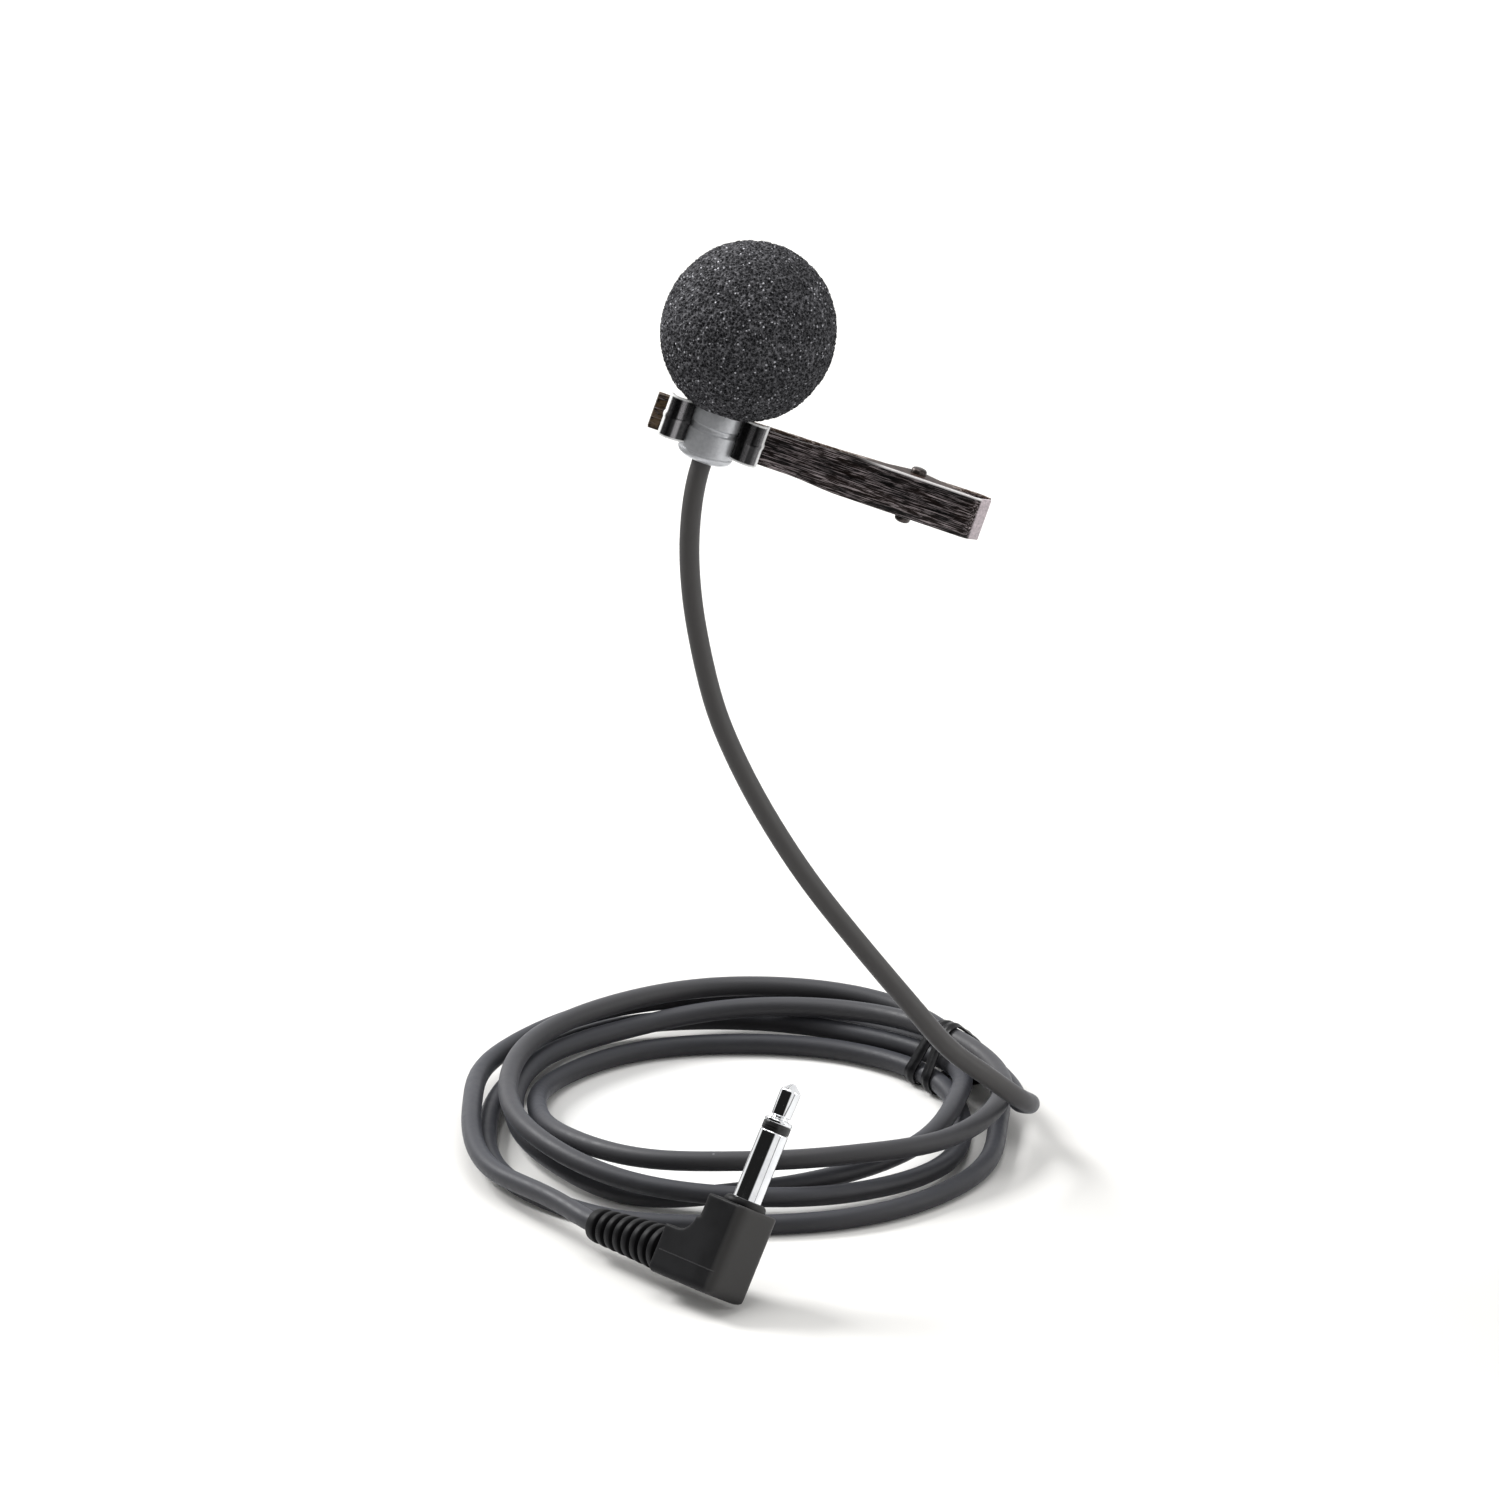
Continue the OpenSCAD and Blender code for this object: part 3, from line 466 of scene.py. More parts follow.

# holder: gloss black nickel strip, with painted highlights along its top and bottom edges and at its free ends, and
# painted reflection bands across the lips
blk = Mat("holder_gloss")
lc = blk.loc()
k = blk.noise(blk.stretch(lc, 3.0, 3.0, 0.4), 1.0, 3)
scr = blk.noise(blk.stretch(lc, 30, 30, 1.2), 1.0, 2)
hh = blk.math("ABSOLUTE", blk.axis(lc, 1))
# painted highlights along the strip's top and bottom rims
edge_highlight = blk.map(hh, 2.30, 2.42, 0, 1)
edge_highlight = blk.math("MULTIPLY", edge_highlight, blk.map(k, 0.25, 0.4, 0.3, 1))
# painted highlight at each free end
tip_highlight = blk.map(blk.axis(lc, 0), 0.95, 0.75, 0, 1)
edge_highlight = blk.math("MAXIMUM", edge_highlight, tip_highlight)
along = blk.axis(lc, 0)
# painted reflection bands across the lips, at set distances from the free ends
reflection_band = blk.math("MULTIPLY", blk.map(along, 1.95, 2.15, 0, 1), blk.map(along, 2.75, 2.50, 0, 1))
reflection_band2 = blk.math("MULTIPLY", blk.map(along, 0.75, 0.95, 0, 1), blk.map(along, 1.50, 1.20, 0, 1))
reflection_band = blk.math("ADD", blk.math("MULTIPLY", reflection_band, 0.75), blk.math("MULTIPLY", reflection_band2, blk.map(scr, 0.35, 0.65, 0.10, 0.45)))
base = blk.mix(blk.map(k, 0.35, 0.7, 0, 1), (0.010, 0.010, 0.011), (0.030, 0.029, 0.030))
base = blk.mix(reflection_band, base, (0.34, 0.33, 0.34))
base = blk.mix(edge_highlight, base, (0.94, 0.94, 0.93))
blk.set(Base_Color=base, Metallic=blk.map(edge_highlight, 0, 1, 0.75, 0.0), Roughness=blk.map(scr, 0.3, 0.7, 0.20, 0.32), Coat_Weight=0.15, Coat_Roughness=0.10)
blk.bump(scr, 0.05, 0.02)


def brushed(name, dark, mid, streak, bright_edges):
    """Black brushed sheet, brown in places: pale scratches run along the arm's length."""
    g = Mat(name)
    lc = g.loc()
    a = g.noise(g.stretch(lc, 0.16, 4.6, 4.6), 1.0, 5, 0.65)
    b = g.noise(g.stretch(lc, 0.26, 8.0, 8.0), 1.0, 3, 0.6)
    b2 = g.noise(g.stretch(lc, 0.55, 15.0, 15.0), 1.0, 2, 0.5)
    e = g.noise(g.stretch(lc, 0.20, 0.9, 0.9), 1.0, 2, 0.5)
    base = g.ramp(a, (0.34, dark), (0.52, mid), (0.62, mid), (0.76, streak))
    brown = g.mix(g.map(e, 0.40, 0.60, 0.0, 0.55), base, (0.022, 0.011, 0.008))
    pale = g.math("MULTIPLY", g.map(b, 0.55, 0.66, 0, 1), g.map(a, 0.40, 0.58, 0.08, 1.0))
    fine = g.math("MULTIPLY", g.map(b2, 0.57, 0.66, 0, 1), g.map(e, 0.35, 0.60, 0.2, 1.0))
    base = g.mix(g.math("MULTIPLY", pale, 0.85), brown, (0.66, 0.57, 0.58))
    base = g.mix(g.math("MULTIPLY", fine, 0.75), base, (0.70, 0.61, 0.62))
    metal = g.map(pale, 0.0, 1.0, 0.35, 0.7)
    spec = 0.2
    if bright_edges:
        base, metal, spec = bright_edges(g, lc, base, a, metal)
    g.set(Base_Color=base, Metallic=metal, Specular_IOR_Level=spec, Roughness=g.map(a, 0.3, 0.7, 0.28, 0.46), Anisotropic=0.4)
    g.bump(a, 0.22, 0.05)
    g.bump(b, 0.20, 0.03)
    return g


def front_edges(g, lc, base, a, metal):
    x, y, z = (g.axis(lc, i) for i in range(3))
    up = g.map(g.math("SUBTRACT", z, 2.7), 2.30, 2.44, 0, 1)
    web = g.map(y, 4.80, 4.76, 0, 1)
    right = g.map(x, 17.5, 21.0, 0.0, 1)
    # the ears' upper faces are dull and brown; the web's top rim on the right carries a painted highlight
    ears = g.math("MULTIPLY", up, g.map(y, 4.76, 4.80, 0, 1))
    n = g.noise(g.stretch(lc, 1.2, 6.0, 2.0), 1.0, 4, 0.6)
    base = g.mix(ears, base, g.ramp(n, (0.35, (0.012, 0.008, 0.007)), (0.55, (0.045, 0.026, 0.020)), (0.72, (0.16, 0.12, 0.11))))
    metal = g.math("MULTIPLY", metal, g.map(ears, 0, 1, 1, 0.1))
    # painted highlight along the web's top rim, on its right part
    web_top_highlight = g.math("MULTIPLY", g.math("MULTIPLY", up, web), right)
    base = g.mix(web_top_highlight, base, (0.88, 0.85, 0.85))
    base = g.mix(g.math("MULTIPLY", g.math("MULTIPLY", up, web), g.map(x, 17.5, 21.0, 1.0, 0.0)), base, (0.030, 0.022, 0.020))
    # the jaw end is rubbed down to a golden brown
    jaw = g.math("MULTIPLY", g.map(x, -1.5, -4.0, 0, 0.9), g.map(n, 0.42, 0.62, 0.1, 1.0))
    base = g.mix(jaw, base, (0.17, 0.115, 0.065))
    end = g.map(x, 33.05, 33.25, 0, 1)
    base = g.mix(end, base, g.ramp(a, (0.3, (0.46, 0.40, 0.42)), (0.7, (0.80, 0.70, 0.73))))
    metal = g.math("MULTIPLY", metal, g.map(end, 0, 1, 1, 0.3))
    spec = g.map(ears, 0, 1, 0.2, 0.10)
    return base, metal, spec


def rear_edges(g, lc, base, a, metal):
    x, z = g.axis(lc, 0), g.axis(lc, 2)
    # the upper face is brown, and its pale streaks are painted highlights
    up = g.map(g.math("SUBTRACT", z, 2.7), 1.80, 1.94, 0, 1)
    n = g.noise(g.stretch(lc, 0.9, 6.0, 2.0), 1.0, 4, 0.6)
    base = g.mix(up, base, g.ramp(n, (0.36, (0.030, 0.019, 0.014)), (0.52, (0.11, 0.072, 0.052)), (0.66, (0.62, 0.54, 0.50))))
    metal = g.math("MULTIPLY", metal, g.map(up, 0, 1, 1, 0.1))
    jaw = g.math("MULTIPLY", g.map(x, -1.5, -4.0, 0, 0.9), g.map(n, 0.42, 0.62, 0.1, 1.0))
    base = g.mix(jaw, base, (0.17, 0.115, 0.065))
    return base, metal, 0.15


arm_f = brushed("clip_front_brushed", (0.0008, 0.0006, 0.0006), (0.003, 0.0024, 0.0024), (0.11, 0.090, 0.092), front_edges)
arm_r = brushed("clip_rear_brushed", (0.004, 0.003, 0.003), (0.018, 0.012, 0.010), (0.08, 0.058, 0.050), rear_edges)

dark = Mat("dark_steel")
lc = dark.obj()
k = dark.noise(lc, 1500, 3)
dark.set(Base_Color=dark.ramp(k, (0.35, (0.03, 0.024, 0.023)), (0.7, (0.11, 0.095, 0.09))), Metallic=0.85, Roughness=dark.map(k, 0.3, 0.7, 0.25, 0.42))
dark.bump(k, 0.15, 0.04)

wire = Mat("spring_wire")
lc = wire.obj()
k = wire.noise(lc, 2200, 3)
wire.set(Base_Color=wire.ramp(k, (0.3, (0.42, 0.42, 0.43)), (0.7, (0.62, 0.62, 0.63))), Metallic=1.0, Roughness=wire.map(k, 0.3, 0.7, 0.18, 0.3))
wire.bump(k, 0.08, 0.02)

tie = Mat("tie_plastic")
lc = tie.obj()
k = tie.noise(lc, 1300, 3)
tie.set(Base_Color=tie.ramp(k, (0.3, (0.002, 0.002, 0.0025)), (0.7, (0.006, 0.006, 0.007))), Roughness=tie.map(k, 0.3, 0.7, 0.32, 0.44), Specular_IOR_Level=0.16)
tie.bump(k, 0.18, 0.05)


def simple(name, c1, c2, scale, rough=(0.3, 0.5), metal=0.0, bump=0.15, stretch=None):
    g = Mat(name)
    lc = g.obj()
    if stretch:
        lc = g.stretch(lc, *stretch)
    k = g.noise(lc, scale, 4)
    g.set(Base_Color=g.ramp(k, (0.32, c1), (0.68, c2)), Metallic=metal, Roughness=g.map(k, 0.3, 0.7, *rough))
    g.bump(k, bump, 0.04)
    return g


copper = Mat("copper_screen")
lc = copper.obj()
w1 = copper.voro(lc, 3600, "F1", 0.2)
k = copper.noise(lc, 500, 3)
copper.set(Base_Color=copper.mix(copper.map(k, 0.3, 0.7, 0, 1), (0.62, 0.27, 0.13), (0.86, 0.48, 0.30)), Metallic=1.0, Roughness=copper.map(k, 0.3, 0.7, 0.25, 0.42))
copper.bump(w1.outputs["Distance"], 0.5, 0.06)

grille = simple("grille_paint", (0.02, 0.02, 0.022), (0.05, 0.05, 0.052), 2600, (0.45, 0.6), 0.3)
can = simple("capsule_aluminium", (0.60, 0.61, 0.63), (0.78, 0.79, 0.80), 1400, (0.22, 0.36), 1.0, stretch=(1, 1, 8))
felt = simple("capsule_felt", (0.010, 0.010, 0.010), (0.040, 0.040, 0.042), 6000, (0.85, 0.95), 0.0, 0.8)
film = simple("capsule_film", (0.55, 0.46, 0.22), (0.80, 0.70, 0.42), 900, (0.2, 0.35), 0.6)
brass = simple("brass_parts", (0.60, 0.42, 0.16), (0.82, 0.64, 0.32), 1100, (0.22, 0.38), 1.0)
ivory = simple("natural_plastic", (0.66, 0.66, 0.62), (0.82, 0.82, 0.79), 900, (0.4, 0.55))
blackp = simple("black_plastic", (0.008, 0.008, 0.008), (0.024, 0.024, 0.025), 1500, (0.3, 0.45))
board = simple("circuit_board", (0.012, 0.11, 0.045), (0.03, 0.22, 0.10), 1700, (0.3, 0.5))
blackr = simple("black_rubber", (0.010, 0.010, 0.010), (0.028, 0.028, 0.028), 2200, (0.55, 0.7))
solder = simple("solder", (0.50, 0.51, 0.53), (0.72, 0.73, 0.75), 2400, (0.2, 0.4), 1.0, 0.3)
lead = simple("lead_insulation", (0.40, 0.015, 0.015), (0.60, 0.04, 0.035), 1600, (0.35, 0.5))

cad_looks = {
    "mic_grille": grille, "capsule_can": can, "capsule_felt": felt, "capsule_diaphragm": film,
    "capsule_spacer": film, "capsule_backplate": brass, "capsule_ring": ivory, "capsule_transistor": blackp,
    "capsule_board": board, "capsule_gasket": blackr, "capsule_solder": solder, "mic_leads": lead,
    "cable_ferrule": can, "holder_rivet": dark, "cable_core_coil": copper, "cable_core_riser": copper,
    "cable_core_mic": copper, "cable_core_plug": copper, "plug_inner_mould": ivory, "plug_tip_lug": brass,
    "plug_sleeve_lug": brass, "plug_leads": lead, "plug_solder": solder,
}
for node_name, look in cad_looks.items():
    if node_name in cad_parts:
        give(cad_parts[node_name], look)


# ================================================================ cable
# One line from inside the plug's boot, back along the five turns, up the riser and into the mic
riser_all = [low_hinge] + [V(*p) for p in riser_pts] + [mic_hinge]
line_pts = [plug_hinge + d * plug_q for d in np.arange(17.4, 0.0, -0.6)]
i_plug = len(line_pts)
line_pts += [coil_pt(u) for u in np.arange(COIL_END, 0.02, -0.05)]
i_low = len(line_pts)
line_pts += [spline(riser_all, u) for u in np.arange(0, len(riser_all) - 1 - 0.02, 0.05)]
i_mic = len(line_pts)
line_pts += [mic_hinge + d * mic_dir for d in np.arange(0, 4.3, 0.4)]
raw = np.array(line_pts)


def sag(d):
    """Drop of the soft boot and its cable at a distance d from the plug's flex point, mm."""
    return 0.52 * np.exp(-(np.asarray(d, float) / 8.0) ** 2)


raw[:, 2] -= sag(np.linalg.norm(raw - plug_hinge, axis=1))


def arc(p):
    return np.concatenate([[0], np.cumsum(np.linalg.norm(np.diff(p, axis=0), axis=1))])


s_raw = arc(raw)
marks = {"plug": s_raw[i_plug], "low": s_raw[i_low], "mic": s_raw[i_mic]}
STEP = 0.7
s_new = np.arange(0, s_raw[-1], STEP)
line = np.stack([np.interp(s_new, s_raw, raw[:, k]) for k in range(3)], 1)
for _ in range(6):      # ease the small kinks where the lengths meet
    line[1:-1] = 0.25 * line[:-2] + 0.5 * line[1:-1] + 0.25 * line[2:]
t_all, s_all, w_all = frames_along(line, np.array((0, 0, 1.0)))
SIDES = 24
ang = 2 * math.pi * np.arange(SIDES) / SIDES
# a real jacket is never perfectly round or even: a slow change of 1% in its radius
wob = np.array([1 + 0.008 * noise.noise(Vector((s * 0.09, 3.1, 0.2))) for s in s_new * STEP])
rings = (line[:, None, :] + CABLE_R * wob[:, None, None] * (np.cos(ang)[None, :, None] * s_all[:, None, :] + np.sin(ang)[None, :, None] * w_all[:, None, :]))


def idx(s):
    return int(round(s / STEP))


def cable_piece(name, s0, s1, cap0=False, cap1=False):
    a, b = max(0, idx(s0)), min(len(line) - 1, idx(s1))
    vs = rings[a:b + 1].reshape(-1, 3)
    rows = b - a + 1
    fs = []
    for i in range(rows - 1):
        for k in range(SIDES):
            k2 = (k + 1) % SIDES
            fs.append([i * SIDES + k, i * SIDES + k2, (i + 1) * SIDES + k2, (i + 1) * SIDES + k])
    if cap0:
        fs.append(list(range(SIDES - 1, -1, -1)))
    if cap1:
        fs.append([(rows - 1) * SIDES + k for k in range(SIDES)])
    loc = np.stack([np.repeat(s_new[a:b + 1], SIDES), np.tile(ang, rows), np.zeros(rows * SIDES)], 1)
    ob = new_obj(name, vs, fs, local=loc, sharp=None)
    give(ob, rubber)
    return ob, line[a], line[b]


sp_, sl_, sm_ = marks["plug"], marks["low"], marks["mic"]
end_len = len(line) * STEP
plug_end, _, _ = cable_piece("cable_plug_end", 0, sp_ - 1.2, cap0=True)
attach(plug_end, "plug")
flex_p, fp0, fp1 = cable_piece("cable_flex_plug", sp_ - 1.2, sp_ + 9)
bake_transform(flex_p)
coil, _, _ = cable_piece("cable_coil", sp_ + 9, sl_ - 8)
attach(coil, "coil")
flex_l, fl0, fl1 = cable_piece("cable_flex_low", sl_ - 8, sl_ + 8)
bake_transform(flex_l)
riser, _, _ = cable_piece("cable_riser", sl_ + 8, sm_ - 10)
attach(riser, "riser")
flex_m, fm0, fm1 = cable_piece("cable_flex_mic", sm_ - 10, sm_ + 1.2)
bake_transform(flex_m)
mic_end, _, _ = cable_piece("cable_mic_end", sm_ + 1.2, end_len, cap1=True)
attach(mic_end, "mic")
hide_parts("cable_jacket_coil")
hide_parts("cable_jacket_riser")
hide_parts("cable_jacket_mic")
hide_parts("cable_jacket_plug")


# the screened core runs inside the jacket and bends with it
CORE_R, CORE_SIDES = 0.61, 16
core_ang = 2 * math.pi * np.arange(CORE_SIDES) / CORE_SIDES


def core_piece(name, s0, s1, ext0=None, ext1=None):
    a, b = max(0, idx(s0)), min(len(line) - 1, idx(s1))
    pts, sv, wv = line[a:b + 1], s_all[a:b + 1], w_all[a:b + 1]
    if ext0 is not None:
        pts, sv, wv = (np.vstack(q) for q in (((pts[0] + ext0)[None], pts), (sv[:1], sv), (wv[:1], wv)))
    if ext1 is not None:
        pts, sv, wv = (np.vstack(q) for q in ((pts, (pts[-1] + ext1)[None]), (sv, sv[-1:]), (wv, wv[-1:])))
    rows, m = len(pts), CORE_SIDES
    vs = (pts[:, None, :] + CORE_R * (np.cos(core_ang)[None, :, None] * sv[:, None, :] + np.sin(core_ang)[None, :, None] * wv[:, None, :])).reshape(-1, 3)
    fs = [[i * m + k, i * m + (k + 1) % m, (i + 1) * m + (k + 1) % m, (i + 1) * m + k] for i in range(rows - 1) for k in range(m)]
    fs += [list(range(m - 1, -1, -1)), [(rows - 1) * m + k for k in range(m)]]
    ob = new_obj(name, vs, fs, sharp=50)
    give(ob, copper)
    return ob


core_plug = core_piece("core_plug_end", 0, sp_ - 1.2, ext0=1.15 * plug_q)
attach(core_plug, "plug")
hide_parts("cable_core_plug")
core_fp = core_piece("core_flex_plug", sp_ - 1.2, sp_ + 9)
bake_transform(core_fp)
core_coil = core_piece("core_coil", sp_ + 9, sl_ - 8)
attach(core_coil, "coil")
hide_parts("cable_core_coil")
core_fl = core_piece("core_flex_low", sl_ - 8, sl_ + 8)
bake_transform(core_fl)
core_riser = core_piece("core_riser", sl_ + 8, sm_ - 10)
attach(core_riser, "riser")
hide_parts("cable_core_riser")
core_fm = core_piece("core_flex_mic", sm_ - 10, sm_ + 1.2)
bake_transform(core_fm)
core_mic = core_piece("core_mic_end", sm_ + 1.2, end_len, ext1=1.0 * mic_dir)
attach(core_mic, "mic")
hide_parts("cable_core_mic")


# ================================================================ twist tie
def hull2d(pts):
    pts = sorted(map(tuple, pts))

    def half(ps):
        h = []
        for p in ps:
            while len(h) > 1 and (h[-1][0] - h[-2][0]) * (p[1] - h[-2][1]) - (h[-1][1] - h[-2][1]) * (p[0] - h[-2][0]) <= 0:
                h.pop()
            h.append(p)
        return h
    a, b = half(pts), half(pts[::-1])
    return a[:-1] + b[:-1]


TIE = 33.0


def bundle(a):
    return [spline(turns, a / 30 + 12 * k) for k in range(5)]


def tie_loop(a, tilt, grow=0.0):
    """Flat tie round the five strands: wired in the middle, thin at its edges."""
    off = CABLE_R + 0.14 + 0.14 + grow
    ring = []
    for c0 in bundle(a):
        ring += [(c0[0] + off * math.cos(x), c0[1] + off * math.sin(x)) for x in np.linspace(0, 2 * math.pi, 40, endpoint=False)]
    h = np.array(hull2d(ring))
    s = arc(np.vstack([h, h[:1]]))
    m = 96
    u = np.linspace(0, s[-1], m, endpoint=False)
    hh = np.vstack([h, h[:1]])
    loop = np.stack([np.interp(u, s, hh[:, k]) for k in range(2)], 1)
    mid = loop.mean(0)
    pts, side = [], []
    ca, sa = math.cos(rad(a)), math.sin(rad(a))
    tan = V(-sa, ca, 0)
    for r, z in loop:
        z = max(z, 0.22)
        shift = tilt * (z - mid[1] + 0.5 * (r - mid[0])) + 0.12 * math.sin(1.7 * (r - mid[0]))
        pts.append(V(r * ca, r * sa, z) + tan * shift)
    pts = np.array(pts)
    side = np.tile(tan, (m, 1))
    w = 0.88
    sec = [(-w, -0.08), (-0.4, -0.11), (0.4, -0.11), (w, -0.08), (w + 0.05, 0.0), (w, 0.08), (0.5, 0.10), (0.3, 0.20), (0.0, 0.26), (-0.3, 0.20), (-0.5, 0.10), (-w, 0.08), (-w - 0.05, 0.0)]
    return sweep(pts, sec, closed=True, side=side)


parts = [tie_loop(TIE - 2.6, 0.16), tie_loop(TIE + 2.6, -0.16)]
tie_x = max(c0[0] for c0 in bundle(TIE)) + CABLE_R + 0.18 + 0.2 + 0.25
ca, sa = math.cos(rad(TIE)), math.sin(rad(TIE))
er, et, ez = V(ca, sa, 0), V(-sa, ca, 0), V(0, 0, 1)
root = tie_x * er + 1.55 * ez
# the two ends cross over each other and lie twisted along the outer side of the coil
for s in (-1, 1):
    pth = []
    for k in range(60):
        t = k / 59
        turn = s * 90 + 620 * t
        ctr = root + et * (-1.3 + 8.6 * t) - er * (0.10 * t) - ez * (0.55 * t) + er * 0.25 * math.sin(3.0 * t)
        spread = 0.30 + 0.35 * max(0.0, t - 0.8) * 4
        o = er * math.cos(rad(turn)) + ez * math.sin(rad(turn))
        pth.append(ctr + o * spread)
    pth = np.array(pth)
    parts.append(sweep(pth, [(-0.42, -0.06), (-0.16, -0.10), (0.16, -0.10), (0.42, -0.06), (0.42, 0.06), (0.16, 0.16), (-0.16, 0.16), (-0.42, 0.06)], up=er))
v, f = join_parts(parts)
tie_ob = new_obj("twist_tie", v, f, sharp=50)
fix_normals(tie_ob)
give(tie_ob, tie)
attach(tie_ob, "coil")
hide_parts("cable_tie")


# ================================================================ windscreen
FOAM_R, FOAM_Z, CUT = 10.25, 16.30, 6.8
bm = bmesh.new()
bmesh.ops.create_icosphere(bm, subdivisions=8, radius=FOAM_R)
bmesh.ops.bisect_plane(bm, geom=bm.verts[:] + bm.edges[:] + bm.faces[:], plane_co=(0, 0, CUT - FOAM_Z + 0.35), plane_no=(0, 0, 1), clear_inner=True)
rim = [e for e in bm.edges if e.is_boundary]
cur = rim
for rr, zz in ((4.45, CUT + 0.12), (4.2, CUT), (3.9, CUT + 0.0), (3.62, CUT + 0.12), (3.45, CUT + 0.5), (3.42, CUT + 3), (3.42, 12.5)):
    ext = bmesh.ops.extrude_edge_only(bm, edges=cur)
    nv = [g for g in ext["geom"] if isinstance(g, bmesh.types.BMVert)]
    cur = [g for g in ext["geom"] if isinstance(g, bmesh.types.BMEdge)]
    for q in nv:
        ln = math.hypot(q.co.x, q.co.y)
        q.co.x, q.co.y, q.co.z = q.co.x * rr / ln, q.co.y * rr / ln, zz - FOAM_Z
me = bpy.data.meshes.new("windscreen_foam")
bm.to_mesh(me)
bm.free()
co = np.empty(len(me.vertices) * 3)
me.vertices.foreach_get("co", co)
co = co.reshape(-1, 3)
d0 = np.linalg.norm(co, axis=1)
outer = np.clip((co[:, 2] + 9.9) / 0.8, 0, 1)
disp = np.zeros(len(co))
for i, p in enumerate(co):
    if outer[i] > 0:
        q = Vector(p)
        f1 = noise.voronoi(q * 1.9, distance_metric="DISTANCE")[0][0]
        disp[i] = 0.34 * (f1 - 0.42) + 0.09 * noise.noise(q * 0.35) + 0.10 * noise.noise(q * 4.5)
disp = np.clip(disp, -0.26, 0.17) * outer
co = co * (1 + disp / d0)[:, None]
co[:, 2] = np.where(co[:, 2] > -8.0, co[:, 2] * 1.045, co[:, 2] - 0.36)
co[:, 2] += FOAM_Z
world = co @ MIC[:3, :3].T + MIC[:3, 3]
me.vertices.foreach_set("co", (world * MM).astype(np.float32).ravel())
me.update()
me.shade_smooth()
foam_ob = bpy.data.objects.new("windscreen_foam", me)
bpy.context.scene.collection.objects.link(foam_ob)
give(foam_ob, foam)
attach(foam_ob, "windscreen")
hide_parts("foam_windscreen")


# ================================================================ mic body
MIC_R, MIC_LEN, HZ = 3.35, 12.2, 4.1
groove = MIC_R - 0.28
prof = [(0.0, 2.35), (2.2, 2.35), (2.75, 2.3), (2.78, 0.99), (MIC_R - 0.04, 0.99), (MIC_R, 1.05), (MIC_R, HZ - 0.42), (groove + 0.03, HZ - 0.26), (groove, HZ - 0.2), (groove, HZ + 0.2),
        (groove + 0.03, HZ + 0.26), (MIC_R, HZ + 0.42), (MIC_R, 6.88), (MIC_R - 0.12, 7.0), (MIC_R - 0.12, 7.2), (MIC_R, 7.32), (MIC_R, MIC_LEN - 0.1), (MIC_R - 0.1, MIC_LEN), (MIC_R - 0.5, MIC_LEN), (MIC_R - 0.55, MIC_LEN - 0.1), (MIC_R - 0.55, 2.4)]
v, f = lathe(prof[3:], 128)
body = new_obj("mic_body", v, f, MIC, sharp=32)
fix_normals(body)
give(body, grey)
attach(body, "mic")
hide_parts("mic_housing")
cap_prof = [(1.22, 2.3), (1.22, 0.25)] + [tuple(p) for p in fillet([(1.22, 0.25), (1.5, 0.0), (MIC_R - 0.78, 0.0), (MIC_R - 0.2, 0.33), (MIC_R, 0.72), (MIC_R, 0.93)], 0.18, 4)] + [(MIC_R - 0.05, 0.98), (MIC_R - 0.6, 0.98), (MIC_R - 0.6, 2.3), (1.22, 2.3)]
v, f = lathe(cap_prof, 128)
capo = new_obj("mic_rear_cap_shell", v, f, MIC, sharp=32)
fix_normals(capo)
give(capo, grey)
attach(capo, "mic")
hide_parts("mic_rear_cap")


# ================================================================ holder strip
HOLD_H = 5.2
rc = MIC_R + 0.07 + 0.26
TURN5 = rad(-2.5)


def turned(p):
    return V(p[0] * math.cos(TURN5) - p[1] * math.sin(TURN5), p[0] * math.sin(TURN5) + p[1] * math.cos(TURN5))


arcp = [V(rc * math.cos(rad(a)), rc * math.sin(rad(a))) for a in np.linspace(-33, 213, 90)]
rl = fillet([V(5.95, -1.58), V(5.92, -2.15), V(5.45, -2.68), V(4.65, -2.78), V(3.75, -2.50), V(3.22, -2.14)], 0.7, 6)
right = rl + [V(3.14, -2.08)]
left = [V(-p[0], p[1]) for p in right][::-1]
plan = [turned(p) for p in right + arcp + left]
plan = [p for i, p in enumerate(plan) if i == 0 or np.linalg.norm(p - plan[i - 1]) > 0.02]
sp2 = arc(np.array(plan))
u = np.linspace(0, sp2[-1], 260)
plan = np.stack([np.interp(u, sp2, np.array(plan)[:, k]) for k in range(2)], 1)
for _ in range(4):
    plan[1:-1] = 0.25 * plan[:-2] + 0.5 * plan[1:-1] + 0.25 * plan[2:]
path3 = np.column_stack([plan, np.full(len(plan), HZ)])
tg = np.gradient(path3, axis=0)
tg /= np.linalg.norm(tg, axis=1)[:, None]
sidev = np.cross(tg, np.array((0, 0, 1.0)))       # points outwards, away from the mic
h2, t2 = HOLD_H / 2, 0.24
sec = []
